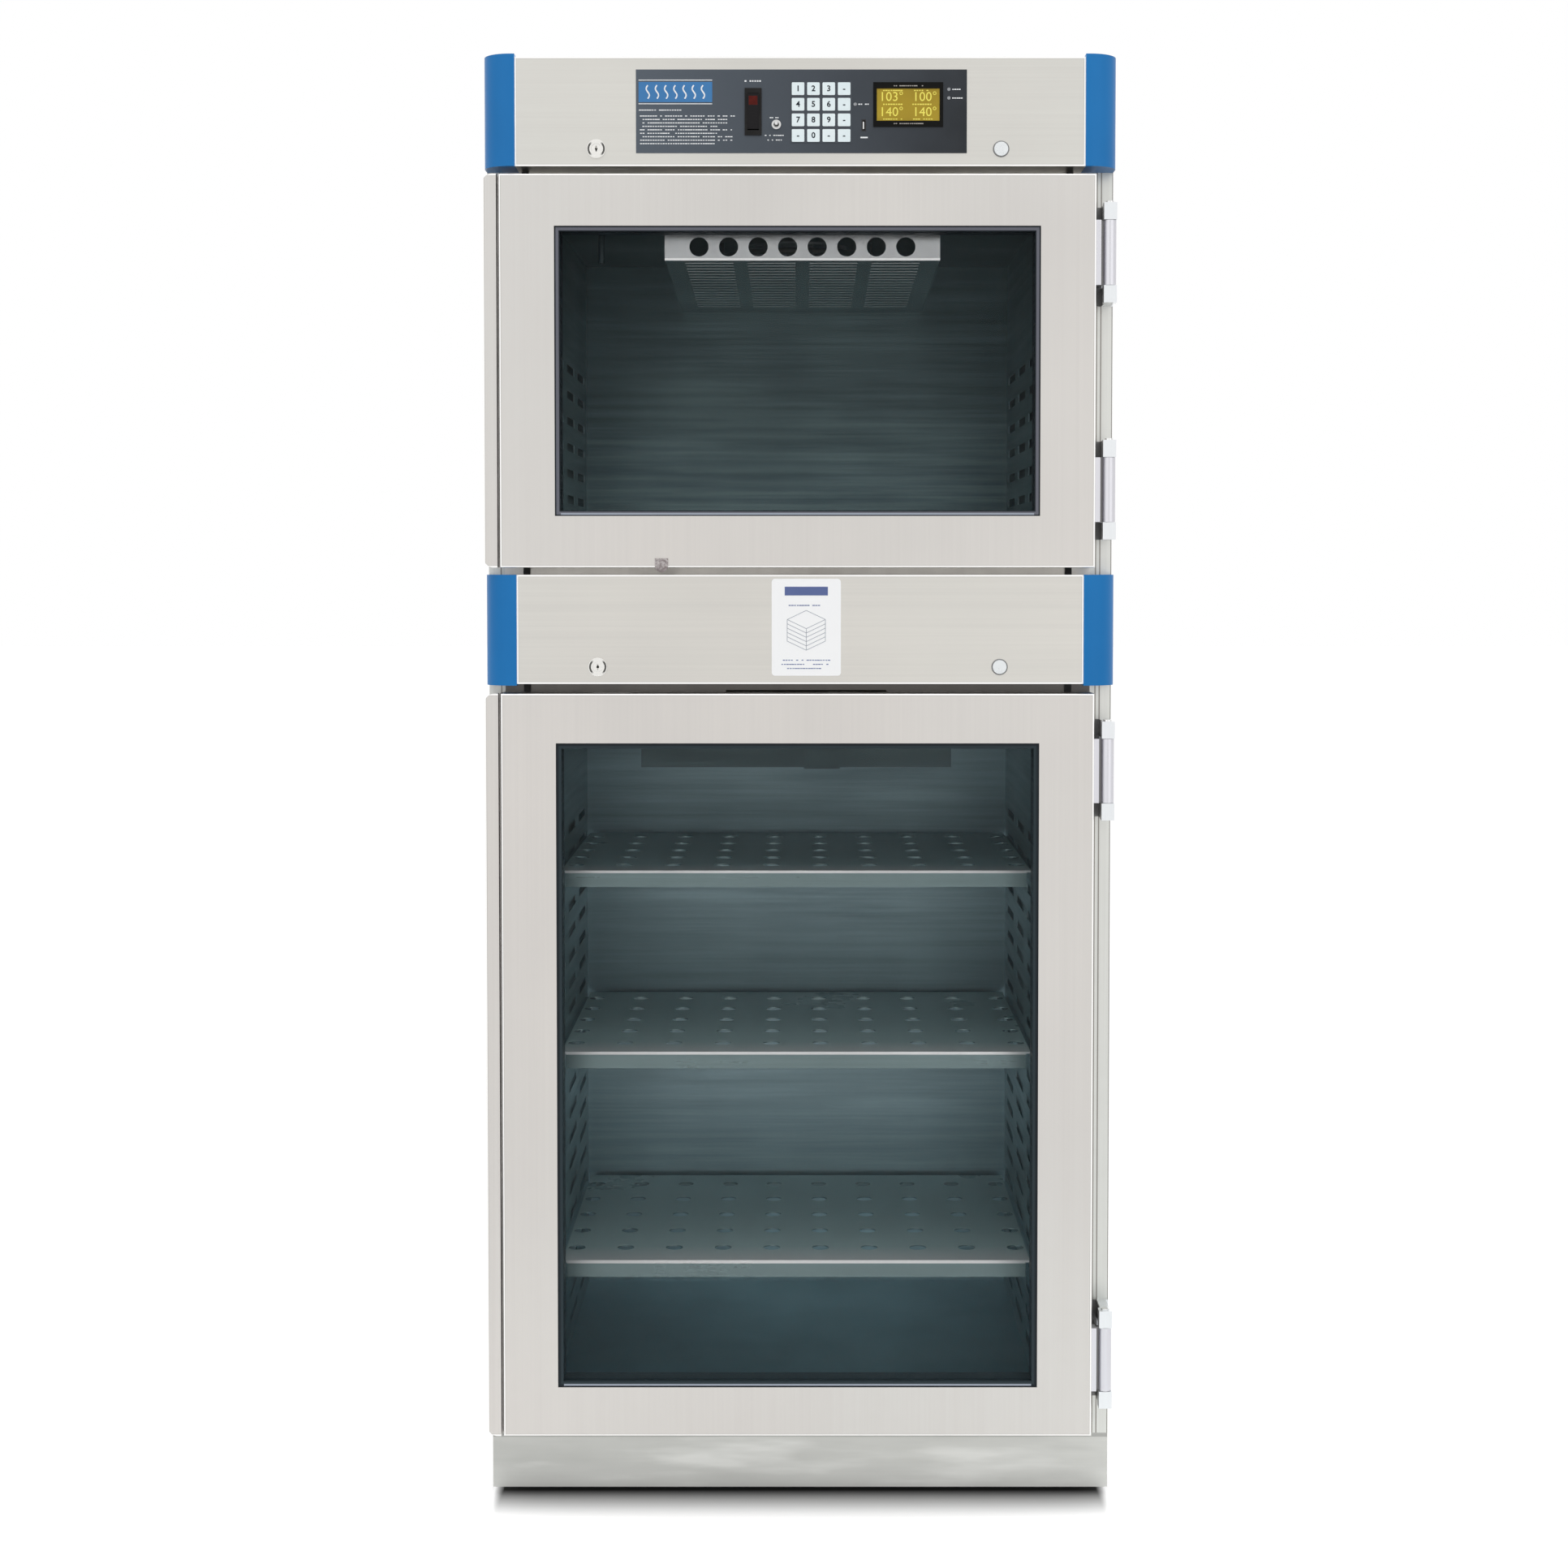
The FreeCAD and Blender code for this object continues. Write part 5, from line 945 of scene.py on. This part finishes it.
def makeDisplayDigits():
    look = {"size": 15.5, "across": 20, "up": 9}
    middle = middleOf("lcd_screen")
    rows = []
    for sign, words in ((1, "103"), (-1, "140")):
        for side in (-1, 1):
            text = "100" if (sign, side) == (1, 1) else words
            rows.append((text + "°", middle.x + side * look["across"] * mm, middle.z + sign * look["up"] * mm))
    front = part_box("lcd_screen")[0].y - inkThickness
    digits = textMesh("displayDigits", rows, look["size"] * mm, front, inkThickness)
    newPiece("displayDigits", digits, inkLcd)


def makeDisplayNotes():
    # faint small rows on the display and on its frame: (across, up, dashes, pitch, height, seed), mm
    small = [
        (-29, 16.8, 9, 3.0, 1.3, 71), (8, 16.8, 7, 3.0, 1.3, 73), (-29, 0.4, 8, 3.0, 1.5, 79),
        (6, 0.4, 8, 3.0, 1.5, 83), (-29, -17.2, 8, 3.0, 1.2, 89), (7, -17.2, 8, 3.0, 1.2, 97),
    ]
    rims = [(-19, 22.2, 16, 2.4, 1.2, 101), (-19, -22.6, 16, 2.4, 1.2, 103)]
    gapShare = 0.12
    for name, nodeName, rows, ink, slotName in (("displayRows", "lcd_screen", small, inkLcd, "lcd"),
                                                ("frameRows", "lcd_bezel", rims, inkRim, "label_white")):
        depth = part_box(nodeName)[0].y - inkThickness / 2
        middle = middleOf("lcd_screen")
        meshes = []
        for across, up, count, pitch, height, seed in rows:
            corner = (middle.x + across * mm, depth, middle.z + up * mm)
            meshes.append(dashes("row", corner, count, pitch, height, gapShare, seed, ink))
        newPiece(name, joinMeshes(name, meshes), ink)


def makePortTongue():
    look = {"width": 1.5, "height": 8.5, "shift": -0.4}       # mm
    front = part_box("data_port")[0].y
    middle = middleOf("data_port")
    tongue = bar(middle.x + (look["shift"] - look["width"] / 2) * mm, middle.z - look["height"] / 2 * mm,
                 look["width"] * mm, look["height"] * mm)
    newPlates("portTongue", [tongue], front - inkThickness, front, brightChrome)


def makeLabelPrint():
    low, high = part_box("label_plate")
    centre = (low.x + high.x) / 2
    front = low.y - inkThickness
    top = high.z

    def at(x, z):
        return (centre + x * mm, top - z * mm)

    band = {"width": 52, "height": 10.5, "foot": 20}            # mm; foot is measured from the label's top
    bars = [bar(*at(-band["width"] / 2, band["foot"]), band["width"] * mm, band["height"] * mm)]
    newPlates("labelBand", bars, front, low.y, inkLabelBlue)
    lines = []
    stack = {"half": 23, "top": 38, "slope": 11, "layers": 5, "layer": 5.2, "line": 0.7}
    half, peak, slope = stack["half"], stack["top"], stack["slope"]
    ring = [(-half, peak + slope), (0, peak), (half, peak + slope), (0, peak + 2 * slope)]
    for start, end in zip(ring, ring[1:] + ring[:1]):
        lines.append(stroke(at(*start), at(*end), stack["line"] * mm))
    for layer in range(1, stack["layers"] + 1):
        drop = layer * stack["layer"]
        left = (-half, peak + slope + drop)
        foot = (0, peak + 2 * slope + drop)
        right = (half, peak + slope + drop)
        lines.append(stroke(at(*left), at(*foot), stack["line"] * mm))
        lines.append(stroke(at(*foot), at(*right), stack["line"] * mm))
    for x, z in ring[:1] + ring[2:]:
        lines.append(stroke(at(x, z), at(x, z + stack["layers"] * stack["layer"]), stack["line"] * mm))
    newPlates("labelStack", lines, front, low.y, inkGrey)
    # rows of dashes: (across from the middle, down, dashes, height, seed), mm
    notes = [(-20, 32, 13, 1.2, 71), (-27, 98, 18, 1.1, 73), (-29, 103, 19, 1.1, 79), (-22, 108, 14, 1.1, 83)]
    dash = {"pitch": 3.2, "gap": 0.15}
    meshes = []
    for across, down, count, height, seed in notes:
        x, z = at(across, down)
        corner = (x, front + inkThickness / 2, z)
        meshes.append(dashes("labelNote", corner, count, dash["pitch"], height, dash["gap"], seed, inkGrey))
    newPiece("labelNotes", joinMeshes("labelNotes", meshes), inkLabelBlue)


makePanelPrint()
makeKeyMarks()
makeDisplayDigits()
makeDisplayNotes()
makePortTongue()
makeLabelPrint()
print("printed marks made")


# Screws round the edge of a sheet that looks towards +Y, one tree for all of them

def makeScrewTree():
    tree = Growth("edgeScrews")
    columns = tree.input("Columns", "Int")
    rows = tree.input("Rows", "Int")
    width = tree.input("Width")
    height = tree.input("Height")
    radius = tree.input("Radius")
    head = tree.input("Head")
    share = tree.input("Top Share")
    middle = tree.input("Middle", "Vector")
    grid = tree.add("GeometryNodeMeshGrid", {
        "Size X": width, "Size Y": height, "Vertices X": columns, "Vertices Y": rows,
    }, "Mesh")
    upright = tree.add("GeometryNodeTransform", {
        "Geometry": grid, "Rotation": (math.radians(90), 0, 0), "Translation": middle,
    })
    neighbours = tree.add("GeometryNodeInputMeshVertexNeighbors", out="Vertex Count")
    inner = tree.add("FunctionNodeCompare", {"A_INT": neighbours, "B_INT": 3}, "Result", data_type="INT",
                     operation="GREATER_THAN")
    edge = tree.add("GeometryNodeDeleteGeometry", {"Geometry": upright, "Selection": inner}, domain="POINT")
    cone = tree.add("GeometryNodeMeshCone", {
        "Vertices": 20, "Radius Top": radius * share, "Radius Bottom": radius, "Depth": head,
    }, "Mesh")
    turned = tree.add("GeometryNodeTransform", {"Geometry": cone, "Rotation": (math.radians(-90), 0, 0)})
    tree.close(tree.add("GeometryNodeInstanceOnPoints", {"Points": edge, "Instance": turned}))
    return tree


screwTree = makeScrewTree()


def edgeScrews(name, nodeName, body, inset, columns, rows):
    look = {"radius": 3.6, "head": 1.0, "topShare": 0.7, "drive": 1.5, "driveHead": 1.06}       # mm
    low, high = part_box(nodeName)
    common = {
        "Columns": columns, "Rows": rows, "Width": high.x - low.x - 2 * inset * mm,
        "Height": high.z - low.z - 2 * inset * mm, "Middle": ((low.x + high.x) / 2, high.y, (low.z + high.z) / 2),
    }
    heads = screwTree.grow(name, {
        **common, "Radius": look["radius"] * mm, "Head": look["head"] * mm, "Top Share": look["topShare"],
        "Finish": brightChrome,
    })
    newPiece(name, heads, brightChrome, body)
    drives = screwTree.grow(name + "Drive", {
        **common, "Radius": look["drive"] * mm, "Head": look["driveHead"] * mm, "Top Share": 1.0,
        "Finish": bezelBlack,
    })
    newPiece(name + "Drive", drives, bezelBlack, body)


edgeScrews("backScrews", "back_panel", "cabinet", 11, 5, 9)
edgeScrews("upperLinerScrews", "upper_door_liner", "upper_door", 9, 7, 5)
edgeScrews("lowerLinerScrews", "lower_door_liner", "lower_door", 9, 7, 9)
print("edge screws made")


# Floor, light and camera

def makeStage():
    # white studio floor; near the base its colour is painted dark, a painted shadow, on top of the real shadow
    look = {"half": 30, "under": 0.05, "near": 0.84, "far": 0.25, "lift": 0.78, "footLift": 0.3}
    # metres: the shade starts this far inside the base's outline; then distances from there
    reach = {"insetX": 0.012, "insetY": 0.022, "dark": 0.006, "soft": 0.095, "far": 1.6}
    narrow = {"shadow": 8, "floor": 2.4}        # times quicker to the sides than to the front
    shell = bmesh.new()
    half = look["half"]
    corners = [shell.verts.new((x, y, 0)) for x, y in ((-half, -half), (half, -half), (half, half), (-half, half))]
    shell.faces.new(corners)
    floor = added("studioFloor", closed(shell, "studioFloor"))
    finish = Finish("floorPaint", Roughness=0.9, Emission_Strength=1.0, Specular_IOR_Level=0.1)
    beyondX = (reach["insetX"] - fromEnds(finish, "base_frame", "X")).most(0)
    beyondY = (reach["insetY"] - fromEnds(finish, "base_frame", "Y")).most(0)

    def away(squeeze):
        return (beyondX * beyondX * squeeze ** 2 + beyondY * beyondY) ** 0.5

    # painted shadow: dark under the base, fading out to the front and quicker to the sides
    foot = finish.range(away(narrow["shadow"]), reach["dark"], reach["soft"], 0, 1)
    share = finish.range(away(narrow["floor"]), reach["soft"], reach["far"], 0, 1)
    tones = [(tone, tone, tone) for tone in (look["under"], look["near"], look["far"])]
    finish.paint(finish.mix(share, finish.mix(foot, tones[0], tones[1]), tones[2]))
    lift = foot * look["footLift"] + share * (look["lift"] - look["footLift"])
    seen = 0
    for ray in ("Is Camera Ray", "Is Glossy Ray", "Is Transmission Ray"):
        seen = finish.add("ShaderNodeLightPath", out=ray) + seen
    finish.feed("Emission Color", finish.mix(lift * seen, (0, 0, 0), (1, 1, 1)))
    floor.data.materials.append(finish.material)


def makeWorld():
    world = bpy.data.worlds.new("studio")
    bpy.context.scene.world = world
    world.use_nodes = True
    backdrop = world.node_tree.nodes["Background"]
    backdrop.inputs["Color"].default_value = (1, 1, 1, 1)
    backdrop.inputs["Strength"].default_value = 1.0


def makeLights():
    # (name, place, aims at, size, watts)
    lights = [
        ("keyLight", (-2.7, -4.4, 2.2), (0, 0, 0.9), 4.0, 17),
        ("fillLight", (2.8, -4.2, 1.6), (0, 0, 0.8), 3.6, 18),
        ("topLight", (0, -1.0, 4.6), (0, -0.3, 0), 4.0, 60),
        ("backLight", (0.6, 4.6, 2.4), (0, 0, 1.0), 3.6, 26),
    ]
    for name, place, target, size, watts in lights:
        lamp = bpy.data.lights.new(name, "AREA")
        lamp.shape = "SQUARE"
        lamp.size = size
        lamp.energy = watts
        holder = added(name, lamp)
        holder.location = place
        holder.rotation_euler = (Vector(target) - Vector(place)).to_track_quat("-Z", "Y").to_euler()


def makeCamera():
    look = {"place": (0, -3.25, 1.157), "tiltDown": 2.09, "lens": 55.63, "shiftAcross": -0.0103, "shiftUp": -0.085}
    lens = bpy.data.cameras.new("viewer")
    lens.sensor_width = 36
    lens.lens = look["lens"]
    lens.shift_x = look["shiftAcross"]
    lens.shift_y = look["shiftUp"]
    viewer = added("viewer", lens)
    viewer.location = look["place"]
    viewer.rotation_euler = (math.radians(90 - look["tiltDown"]), 0, 0)
    bpy.context.scene.camera = viewer


makeStage()
makeWorld()
makeLights()
makeCamera()
bpy.context.scene.view_settings.view_transform = "Standard"
print("stage, light and camera set")
